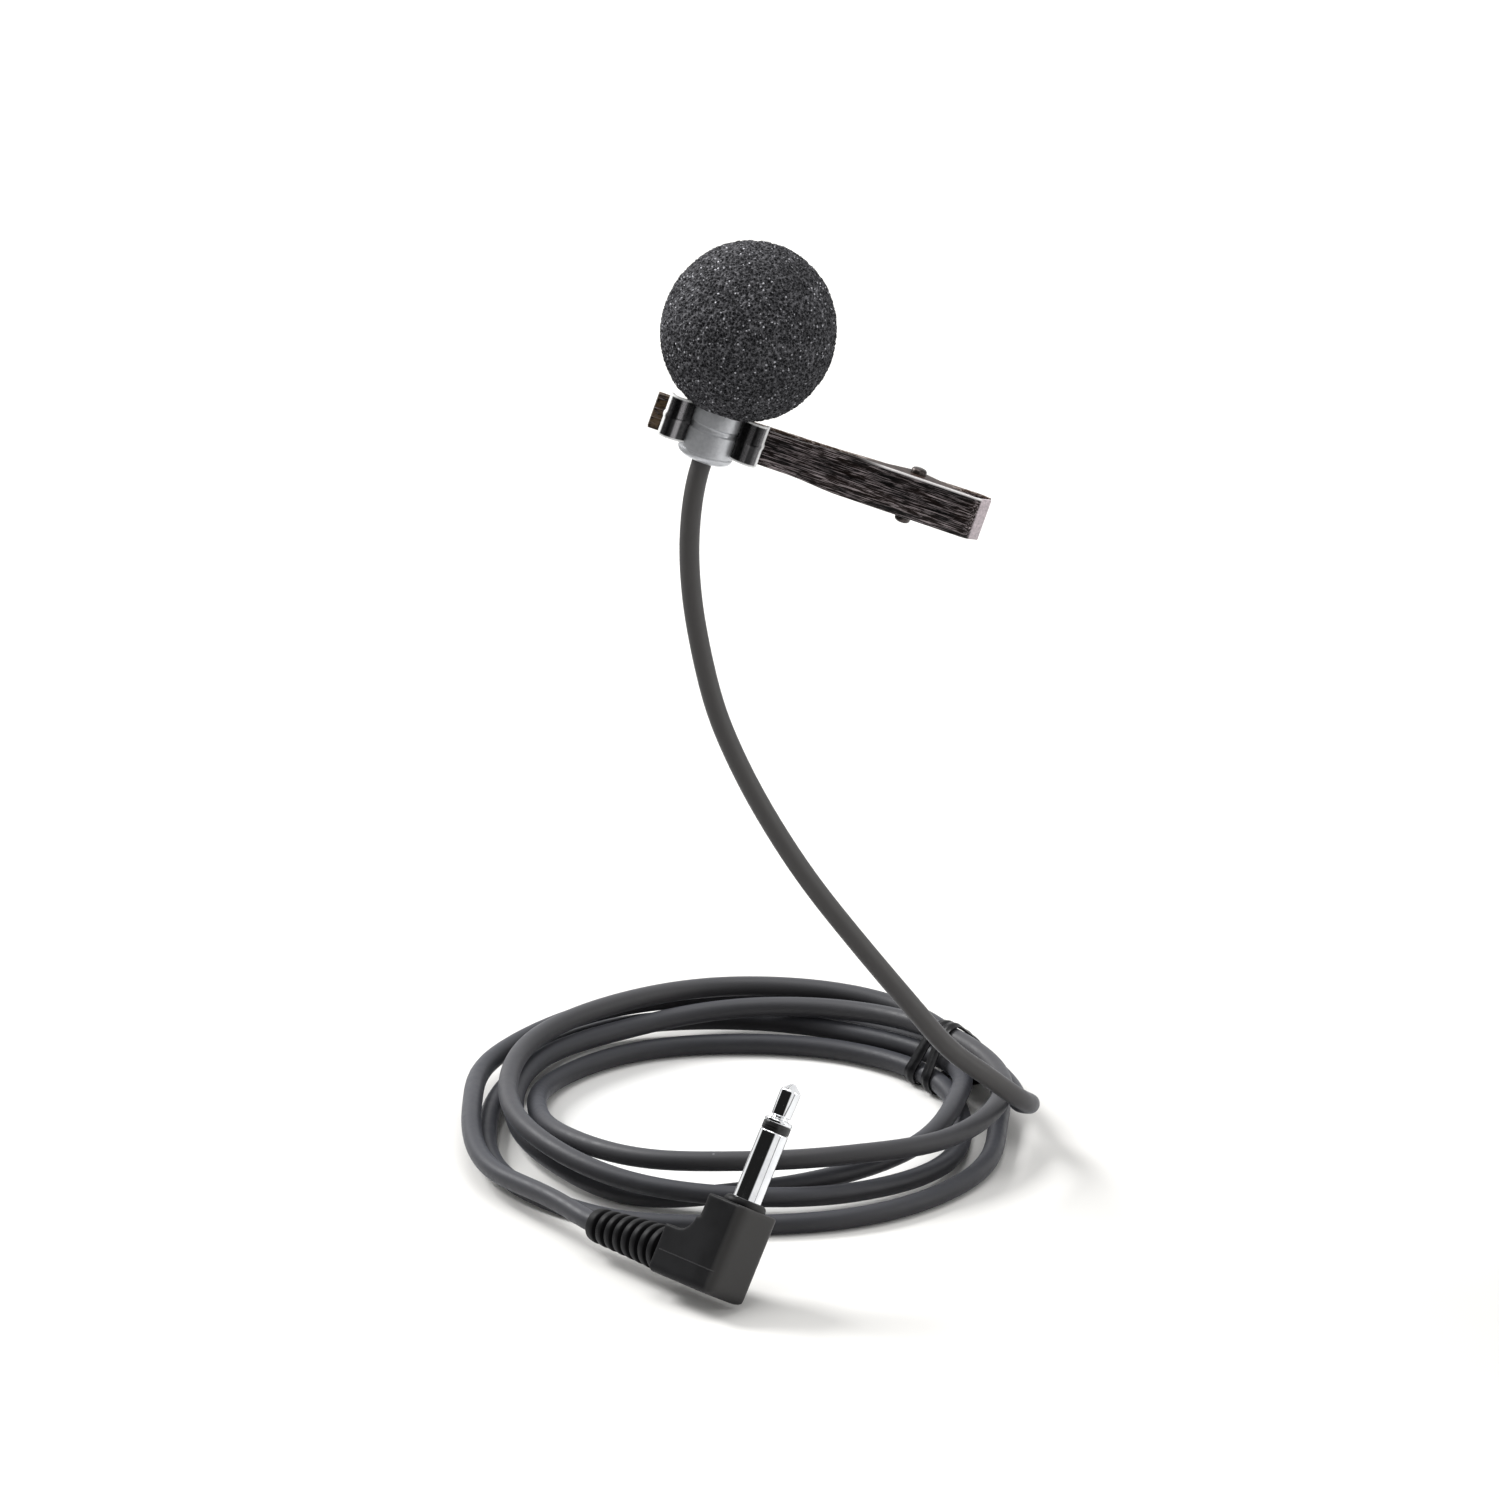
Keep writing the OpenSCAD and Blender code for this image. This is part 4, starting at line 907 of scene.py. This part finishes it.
# up the outer face, with the bead pressed inwards at mid height, and down the inner face
for a, b in ((t2 - 0.12, -h2), (t2 - 0.04, -h2 + 0.04), (t2, -h2 + 0.14), (t2, -0.52), (t2 - 0.04, -0.40), (t2 - 0.22, -0.2), (t2 - 0.30, 0.0), (t2 - 0.22, 0.2), (t2 - 0.04, 0.40), (t2, 0.52), (t2, h2 - 0.14), (t2 - 0.04, h2 - 0.04), (t2 - 0.12, h2)):
    sec.append((a, b))
for a, b in ((-t2 + 0.12, h2), (-t2 + 0.04, h2 - 0.04), (-t2, h2 - 0.14), (-t2, 0.42), (-t2 - 0.10, 0.18), (-t2 - 0.12, 0.0), (-t2 - 0.10, -0.18), (-t2, -0.42), (-t2, -h2 + 0.14), (-t2 + 0.04, -h2 + 0.04), (-t2 + 0.12, -h2)):
    sec.append((a, b))
v1, f1 = sweep(path3, sec, side=sidev, caps=True)
# block between the holder and the front arm
pv, pf = prism(fillet([V(-2.05, 3.3), V(2.05, 3.3), V(2.05, 4.28), V(-2.05, 4.28)], 0.2, 3, closed=True), HZ - 2.45, HZ + 2.45)
v, f = join_parts([(v1, f1), (pv, pf)])
# texture place: distance from the nearer free end, height, and 0
L5 = u[-1]
ds = np.minimum(u, L5 - u)
l1 = np.stack([np.repeat(ds, len(sec)), np.tile([q[1] for q in sec], len(u)), np.tile([q[0] for q in sec], len(u))], 1)
l2 = np.stack([np.full(len(pv), 9.0) + pv[:, 0], pv[:, 2] - HZ, pv[:, 1]], 1)
hold = new_obj("holder_strip", v, f, CLIP, local=np.vstack([l1, l2]), sharp=40)
fix_normals(hold)
give(hold, blk)
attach(hold, "clip")
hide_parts("mic_holder")


# ================================================================ clip arms
JAW, TAIL, PX, PY, AZ = 7.1, 34.4, 25.2, 7.0, 2.7
JAW_W, EAR_W, ST = 4.3, 5.1, 0.45
WEB = 4.3


def half_height(x, tail):
    if x <= 10:
        return JAW_W / 2
    if x >= 17:
        return tail / 2
    t = (x - 10) / 7
    t = t * t * (3 - 2 * t)
    return JAW_W / 2 + (tail - JAW_W) / 2 * t


def arm_strip(pts, tail, n=150):
    """Bent sheet along pts in plan (the front face), ST thick towards +y, with rounded long edges."""
    pl_ = fillet([V(*p) for p in pts], 0.8, 6)
    pl_ = np.array(pl_)
    s = arc(pl_)
    uu = np.linspace(0, s[-1], n)
    pl_ = np.stack([np.interp(uu, s, pl_[:, k]) for k in range(2)], 1)
    tt = np.gradient(pl_, axis=0)
    tt /= np.linalg.norm(tt, axis=1)[:, None]
    nn = np.stack([-tt[:, 1], tt[:, 0]], 1)         # towards +y
    vs, m = [], 0
    for (x, y), nrm in zip(pl_, nn):
        h = half_height(x, tail)
        e = 0.13
        loop = [(0, -h + e), (e * 0.3, -h + e * 0.3), (e, -h), (ST - e, -h), (ST - e * 0.3, -h + e * 0.3), (ST, -h + e)]
        loop += [(ST, h - e), (ST - e * 0.3, h - e * 0.3), (ST - e, h), (e, h), (e * 0.3, h - e * 0.3), (0, h - e)]
        m = len(loop)
        for o, z in loop:
            vs.append((x + nrm[0] * o, y + nrm[1] * o, AZ + z))
    fs = []
    for i in range(n - 1):
        for k in range(m):
            k2 = (k + 1) % m
            fs.append([i * m + k, i * m + k2, (i + 1) * m + k2, (i + 1) * m + k])
    fs.append(list(range(m - 1, -1, -1)))
    fs.append([(n - 1) * m + k for k in range(m)])
    return np.array(vs), fs


def ear_plate(pts, w, s):
    """Side plate with a rounded boss round the pivot."""
    z = AZ + s * (w / 2 - ST / 2)
    ring = [(PX + 1.45 * math.cos(a), PY + 1.45 * math.sin(a)) for a in np.linspace(0, 2 * math.pi, 40, endpoint=False)]
    lo = [p for p in fillet([V(*p) for p in pts], 0.5, 3, closed=True)]
    return prism(hull2d([tuple(p) for p in lo] + ring), z - ST / 2, z + ST / 2)


def tip_block(y0, y1):
    """Short thick jaw end, folded back on itself."""
    return prism(fillet([V(-JAW - 0.02, y0), V(-JAW + 2.0, y0), V(-JAW + 2.2, y1), V(-JAW - 0.02, y1)], 0.12, 2, closed=True), AZ - JAW_W / 2, AZ + JAW_W / 2)


front_line = [(-JAW, WEB), (TAIL - 1.5, WEB), (TAIL - 0.05, WEB + 1.5)]
f_parts = [arm_strip(front_line, EAR_W)]
for s in (-1, 1):
    f_parts.append(ear_plate([(16.4, WEB + 0.12), (32, WEB + 0.12), (30.4, 5.6), (26.5, 7.4), (23.9, 7.4), (19.4, 5.4)], EAR_W, s))
v, f = join_parts(f_parts)
fa = new_obj("clip_front", v, f, CLIP, sharp=38)
fix_normals(fa)
bevel(fa, 0.07, 2, 50)
give(fa, arm_f)
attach(fa, "clip")
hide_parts("clip_front_arm")

rear_line = [(-JAW, WEB + ST + 0.45), (-JAW + 2.4, WEB + ST + 0.45), (-2.5, 5.75), (12, 6.9), (20, 8.6), (TAIL - 1.2, 9.5), (TAIL, 9.0)]
r_parts = [arm_strip(rear_line, 4.1)]
for s in (-1, 1):
    r_parts.append(ear_plate([(16.4, 7.95), (21, 8.85), (32, 9.55), (29.9, 8.2), (26.6, 6.6), (23.8, 6.6)], 4.1, s))
for k in range(3):
    x0 = -JAW + 0.05 + 0.75 * k
    y0 = WEB + ST + 0.47
    r_parts.append(prism([(x0, y0), (x0 + 0.35, y0 - 0.38), (x0 + 0.7, y0)][::-1], AZ - JAW_W / 2 + 0.05, AZ + JAW_W / 2 - 0.05))
v, f = join_parts(r_parts)
ra = new_obj("clip_rear", v, f, CLIP, sharp=38)
fix_normals(ra)
bevel(ra, 0.07, 2, 50)
give(ra, arm_r)
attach(ra, "clip_jaw")
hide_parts("clip_rear_arm")

# pivot pin with peened heads
hz2 = EAR_W / 2
pp = [(0.0, -hz2 - 1.10), (0.5, -hz2 - 1.08), (0.78, -hz2 - 0.98), (0.92, -hz2 - 0.80), (0.95, -hz2 - 0.6), (0.95, -hz2 - 0.02), (0.75, -hz2 - 0.02),
      (0.75, hz2 + 0.02), (0.95, hz2 + 0.02), (0.95, hz2 + 0.2), (0.92, hz2 + 0.42), (0.78, hz2 + 0.6), (0.45, hz2 + 0.69), (0.0, hz2 + 0.7)]
v, f = lathe(pp, 48)
v = v + V(PX, PY, AZ)
pin = new_obj("clip_pin", v, f, CLIP, sharp=40)
fix_normals(pin)
give(pin, dark)
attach(pin, "clip")
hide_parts("clip_pivot_pin")

# torsion spring
SR = 1.3
pts = [V(PX + 6.6, WEB + ST + 0.28, AZ + 0.62), V(PX + 4.5, WEB + ST + 0.33, AZ + 0.62), V(PX + 2.4, PY - SR - 0.16, AZ + 0.62), V(PX + 1.0, PY - SR - 0.04, AZ + 0.62)]
pts += [V(PX + SR * math.cos(rad(-90 - a)), PY + SR * math.sin(rad(-90 - a)), AZ + 0.62 - 1.24 * a / 900) for a in range(0, 901, 15)]
pts += [V(PX + 1.0, PY + SR + 0.02, AZ - 0.62), V(PX + 2.4, PY + SR + 0.08, AZ - 0.62), V(PX + 6.2, PY + SR + 0.42, AZ - 0.62)]
v, f = sweep(pts, circle(0.2, 12), up=(0, 0, 1))
sp_ob = new_obj("clip_spring_wire", v, f, CLIP, sharp=None)
fix_normals(sp_ob)
give(sp_ob, wire)
# the front leg stays with the front arm, the rear leg goes with the rear arm, and the coil winds between
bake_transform(sp_ob)
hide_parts("clip_spring")


# ================================================================ plug
def rsq(w, d, r, n=8):
    out = []
    for cx, cy, a0 in ((w / 2 - r, d / 2 - r, 0), (-w / 2 + r, d / 2 - r, 90), (-w / 2 + r, -d / 2 + r, 180), (w / 2 - r, -d / 2 + r, 270)):
        out += [(cx + r * math.cos(rad(a0 + 90 * k / n)), cy + r * math.sin(rad(a0 + 90 * k / n))) for k in range(n + 1)]
    return out


def boot_r(x):
    return 2.86 - 0.86 * x / BOOT_LEN


# elbow: the upright block and the leg are fused, remeshed fine and eased, so their joins are filleted like a moulding
EW = 6.5
BACK = 0.4
TOE = 1.5
side_p = fillet([V(-LEG_LEN - 0.3, -11.15), V(EW / 2, -11.15), V(EW / 2, 0.05), V(-EW / 2 - BACK, 0.05), V(-EW / 2 - BACK, -3.6), V(-4.5, -4.85), V(-5.4, -5.15), V(-LEG_LEN - 0.3, -5.2)], 0.5, 4, closed=True, keep=(0, 1, 7))
out_p = []
for q in side_p:
    if q[0] > EW / 2 - 0.01 and q[1] < -11.0:       # rounded toe
        out_p += [V(EW / 2 - TOE + TOE * math.sin(rad(a)), -11.15 + TOE - TOE * math.cos(rad(a))) for a in range(0, 91, 10)]
    else:
        out_p.append(q)
sv, sf = prism([tuple(p) for p in out_p], -6.0, 6.0)
sv = sv[:, [0, 2, 1]]
plan_p = [(-LEG_LEN - 0.3, -EW / 2)] + [q for q in rsq(EW, EW, 1.7) if q[0] > 0 and q[1] < 0] + [q for q in rsq(EW, EW, 1.7) if q[0] > 0 and q[1] > 0] + [(-LEG_LEN - 0.3, EW / 2)]
# the upright's rear corners are rounded too, above the leg
pv2, pf2 = prism(plan_p, -12.0, -3.0)
pv3, pf3 = prism([(x - BACK / 2, y) for x, y in rsq(EW + BACK, EW, 1.2)], -11.6, 0.05)
FOOT = 0.85
end_p = [(-EW / 2, 0.6)] + [(-EW / 2 + FOOT - FOOT * math.cos(rad(a)), -11.15 + FOOT - FOOT * math.sin(rad(a))) for a in range(0, 91, 10)] + [(EW / 2 - FOOT + FOOT * math.sin(rad(a)), -11.15 + FOOT - FOOT * math.cos(rad(a))) for a in range(0, 91, 10)] + [(EW / 2, 0.6)]
ev_, ef_ = prism(end_p, -10.0, 6.0)
ev_ = ev_[:, [2, 0, 1]]


def cutter(name, v_, f_):
    o_ = new_obj(name, v_, f_)
    fix_normals(o_)
    return o_


elbow = cutter("plug_elbow", pv2, pf2)
tools = [cutter("t_up", pv3, pf3), cutter("t_side", sv, sf), cutter("t_end", ev_, ef_)]
for tool, op in zip(tools, ("UNION", "INTERSECT", "INTERSECT")):
    bo = elbow.modifiers.new("b", "BOOLEAN")
    bo.operation = op
    bo.solver = "EXACT"
    bo.object = tool
rm = elbow.modifiers.new("remesh", "REMESH")
rm.mode = "VOXEL"
rm.voxel_size = 0.15 * MM
sm = elbow.modifiers.new("smooth", "SMOOTH")
sm.factor, sm.iterations = 0.5, 14
dg = bpy.context.evaluated_depsgraph_get()
ev = elbow.evaluated_get(dg)
tmp = bpy.data.meshes.new_from_object(ev)
co = np.empty(len(tmp.vertices) * 3)
tmp.vertices.foreach_get("co", co)
co = co.reshape(-1, 3) / MM
ef = [list(p.vertices) for p in tmp.polygons]
bpy.data.objects.remove(elbow)
for tool in tools:
    bpy.data.objects.remove(tool)
e_parts = [(co, ef)]
# low raised rim round the pin
rimp = [tuple(p) for p in fillet([V(2.62, -0.6), V(2.62, 0.30), V(2.50, 0.62), V(2.25, 0.84), V(1.95, 0.90), V(1.80, 0.86), V(1.80, -0.2)], 0.16, 4)]
e_parts.append(lathe(rimp, 96))
# strain relief: turned-over ribs on a tapering boot
bp = [V(0, -1.2), V(2.66, -1.2), V(boot_r(0) + 0.02, -0.3), V(boot_r(0), 0.45)]
pitch = 1.6
for k in range(8):
    x = 0.7 + k * pitch
    bp += [V(boot_r(x) - 0.66, x + 0.02), V(boot_r(x) - 0.70, x + 0.26), V(boot_r(x) - 0.66, x + 0.50), V(boot_r(x + 0.5) + 0.02, x + 0.60), V(boot_r(x + 0.8) + 0.07, x + 0.90), V(boot_r(x + 1.3) + 0.02, x + 1.48)]
bp += [V(boot_r(BOOT_LEN) - 0.02, BOOT_LEN - 0.25), V(boot_r(BOOT_LEN) - 0.3, BOOT_LEN), V(1.22, BOOT_LEN), V(1.22, BOOT_LEN - 0.4)]
bp = fillet(bp, 0.10, 3)
bv, bf = lathe([(max(0.0, p[0]), p[1]) for p in bp], 96)
# the boot's axis is laid along the leg, below the top by AXIS_H
bv2 = np.stack([-LEG_LEN - bv[:, 2], bv[:, 1] * 1.0, -AXIS_H + bv[:, 0]], 1)
e_parts.append((bv2, bf))
v, f = join_parts(e_parts)
# the soft boot hangs a little with the cable
PI_ = np.linalg.inv(PLUG)
wv = v @ PLUG[:3, :3].T + PLUG[:3, 3]
onb = v[:, 0] < -LEG_LEN + 0.2
wv[:, 2] -= np.where(onb, sag(np.abs(-LEG_LEN - 1.3 - BOOT_LEN - v[:, 0])), 0.0)
v = wv @ PI_[:3, :3].T + PI_[:3, 3]
over = new_obj("plug_body", v, f, PLUG, sharp=38)
fix_normals(over)
give(over, pl)
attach(over, "plug")
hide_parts("plug_overmould")

PIN_Z = 0.9 + 8.6
sleeve = [(1.16, -4.3)] + [tuple(p) for p in fillet([V(1.45, -4.4), V(1.45, -1.05), V(2.1, -1.05), V(2.1, -0.02), V(1.745, 0.0), V(1.745, PIN_Z - 0.16), V(1.6, PIN_Z), V(1.2, PIN_Z)], 0.12, 3)] + [(1.16, PIN_Z - 0.1), (1.16, -4.3)]
v, f = lathe(sleeve, 128)
o = new_obj("plug_barrel", v, f, PLUG, sharp=30)
fix_normals(o)
give(o, chrome)
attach(o, "plug")
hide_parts("plug_sleeve")
ins = [(0.73, -4.7), (1.12, -4.7), (1.12, PIN_Z + 0.01)] + [tuple(p) for p in fillet([V(1.2, PIN_Z + 0.015), V(1.70, PIN_Z + 0.015), V(1.70, PIN_Z + 1.0), V(0.75, PIN_Z + 1.0)], 0.06, 2)] + [(0.73, PIN_Z + 0.9), (0.73, -4.7)]
v, f = lathe(ins, 96)
o = new_obj("plug_insulator_ring", v, f, PLUG, sharp=30)
fix_normals(o)
give(o, ring_black)
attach(o, "plug")
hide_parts("plug_insulator")
z = PIN_Z + 1.02
tipp = [(0.0, -5.6), (0.66, -5.6), (0.7, -5.5), (0.7, z - 0.02)] + [tuple(p) for p in fillet([V(0.8, z), V(1.70, z), V(1.71, z + 0.40), V(1.5, z + 0.52), V(0.98, z + 0.58), V(0.95, z + 0.88), V(1.20, z + 0.98), V(1.245, z + 2.5), V(1.26, z + 4.02), V(1.18, z + 4.2), V(0.34, z + 4.95), V(0.0, z + 5.05)], 0.14, 4)][:-1] + [(0.0, z + 5.04)]
v, f = lathe(tipp, 128)
o = new_obj("plug_pin_tip", v, f, PLUG, sharp=28)
fix_normals(o)
give(o, chrome)
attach(o, "plug")
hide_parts("plug_tip")


# ================================================================ stage, light, camera
FLOOR_GAIN = 0.86     # a white sweep, exposed to white
floor_m = Mat("floor_white")
c = floor_m.obj()
k = floor_m.noise(c, 5, 2)
lpf = floor_m.n("LightPath").outputs["Is Camera Ray"]
dif = floor_m.n("BsdfDiffuse")
near_ = floor_m.math("MULTIPLY", floor_m.map(floor_m.axis(c, 1), -0.34, -0.14, 0.03, 1.0), floor_m.map(floor_m.axis(c, 0), -0.13, -0.045, 0.04, 1.0))
tone = floor_m.mix(near_, (0.0, 0.0, 0.0), floor_m.ramp(k, (0.4, 0.88), (0.6, 0.90)))
dif_ray = floor_m.n("LightPath").outputs["Is Diffuse Ray"]
tone = floor_m.mix(dif_ray, tone, floor_m.ramp(k, (0.4, 0.44), (0.6, 0.46)))
# the light pools inside the coil
rr_ = floor_m.n("VectorMath", {"operation": "LENGTH"})
floor_m.t.links.new(c, rr_.inputs[0])
pool = floor_m.map(rr_.outputs["Value"], 0.029, 0.016, 0.0, 1.0)
seen = floor_m.mix(pool, (FLOOR_GAIN, FLOOR_GAIN * 0.99, FLOOR_GAIN * 0.965), (1.0, 1.0, 0.99))
col = floor_m.mix(lpf, tone, seen)
floor_m.t.links.new(col, dif.inputs["Color"])
floor_m.t.links.new(dif.outputs[0], floor_m.out.inputs[0])
me = bpy.data.meshes.new("floor")
me.from_pydata([(-4, -4, -0.00004), (4, -4, -0.00004), (4, 4, -0.00004), (-4, 4, -0.00004)], [], [[0, 1, 2, 3]])
floor = bpy.data.objects.new("floor", me)
bpy.context.scene.collection.objects.link(floor)
give(floor, floor_m)


def area(name, loc, target, size, power, color=(1, 1, 1), sy=None):
    d = bpy.data.lights.new(name, "AREA")
    d.shape = "RECTANGLE" if sy else "SQUARE"
    d.size = size
    if sy:
        d.size_y = sy
    d.energy = power
    d.color = color
    o = bpy.data.objects.new(name, d)
    o.location = loc
    o.rotation_mode = "QUATERNION"
    o.rotation_quaternion = (Vector(target) - Vector(loc)).to_track_quat("-Z", "Y")
    o.visible_camera = False
    bpy.context.scene.collection.objects.link(o)
    return o


mid = (0, -0.005, 0.045)
area("key", (-0.56, 0.34, 0.60), mid, 0.30, 6.5)
area("top", (0.0, 0.05, 1.0), mid, 0.6, 3.2)
area("right_card", (0.60, -0.16, 0.18), mid, 0.16, 0.8, sy=0.5)
area("left_card", (-0.62, -0.02, 0.16), mid, 0.12, 0.5, sy=0.5).visible_glossy = False

AMBIENT = 0.5
world = bpy.data.worlds.new("studio")
bpy.context.scene.world = world
world.use_nodes = True
nt = world.node_tree
nt.nodes.clear()
wo = nt.nodes.new("ShaderNodeOutputWorld")
bg = nt.nodes.new("ShaderNodeBackground")
cam_bg = nt.nodes.new("ShaderNodeBackground")
mx = nt.nodes.new("ShaderNodeMixShader")
lp = nt.nodes.new("ShaderNodeLightPath")
tc = nt.nodes.new("ShaderNodeTexCoord")
sx = nt.nodes.new("ShaderNodeSeparateXYZ")
nt.links.new(tc.outputs["Generated"], sx.inputs[0])
# studio: what the shiny parts mirror is white behind, overhead and to the right, and dark in front and to the left


def wmath(op, a, b):
    m_ = nt.nodes.new("ShaderNodeMath")
    m_.operation = op
    for i_, v_ in enumerate((a, b)):
        if isinstance(v_, bpy.types.NodeSocket):
            nt.links.new(v_, m_.inputs[i_])
        else:
            m_.inputs[i_].default_value = v_
    return m_.outputs[0]


def wmap(v_, a, b, c_, d_):
    m_ = nt.nodes.new("ShaderNodeMapRange")
    m_.interpolation_type = "SMOOTHSTEP"
    for i_, x_ in enumerate((a, b, c_, d_)):
        m_.inputs[i_ + 1].default_value = x_
    nt.links.new(v_, m_.inputs[0])
    return m_.outputs[0]


X_, Y_, Z_ = sx.outputs["X"], sx.outputs["Y"], sx.outputs["Z"]
behind = wmap(Y_, 0.36, 0.52, 0.015, 1.0)
right_ = wmap(X_, 0.16, 0.34, 0.015, 0.95)
over_ = wmap(Z_, 0.62, 0.88, 0.0, 0.85)
mirror_ = wmath("MAXIMUM", wmath("MAXIMUM", behind, right_), over_)
diffuse_ = lp.outputs["Is Diffuse Ray"]
level = wmath("ADD", wmath("MULTIPLY", diffuse_, AMBIENT), wmath("MULTIPLY", wmath("SUBTRACT", 1.0, diffuse_), mirror_))
nt.links.new(level, bg.inputs["Strength"])
bg.inputs["Color"].default_value = (1, 1, 1, 1)
cam_bg.inputs["Color"].default_value = (1, 1, 1, 1)
cam_bg.inputs["Strength"].default_value = 1.0
nt.links.new(lp.outputs["Is Camera Ray"], mx.inputs[0])
nt.links.new(bg.outputs[0], mx.inputs[1])
nt.links.new(cam_bg.outputs[0], mx.inputs[2])
nt.links.new(mx.outputs[0], wo.inputs[0])

bpy.context.scene.view_settings.view_transform = "Standard"
bpy.context.scene.view_settings.look = "None"

e = rad(21.5)
D = 4.0
tgt = V(0.001065, -0.005, 0.05107)
cd = bpy.data.cameras.new("camera")
cd.sensor_width = 36
cd.lens = 36 / 2 / (0.08876 / D)
cd.clip_start, cd.clip_end = 0.05, 20
cam = bpy.data.objects.new("camera", cd)
cam.location = tgt + D * V(0, -math.cos(e), math.sin(e))
cam.rotation_euler = (math.pi / 2 - e, 0, 0)
bpy.context.scene.collection.objects.link(cam)
bpy.context.scene.camera = cam
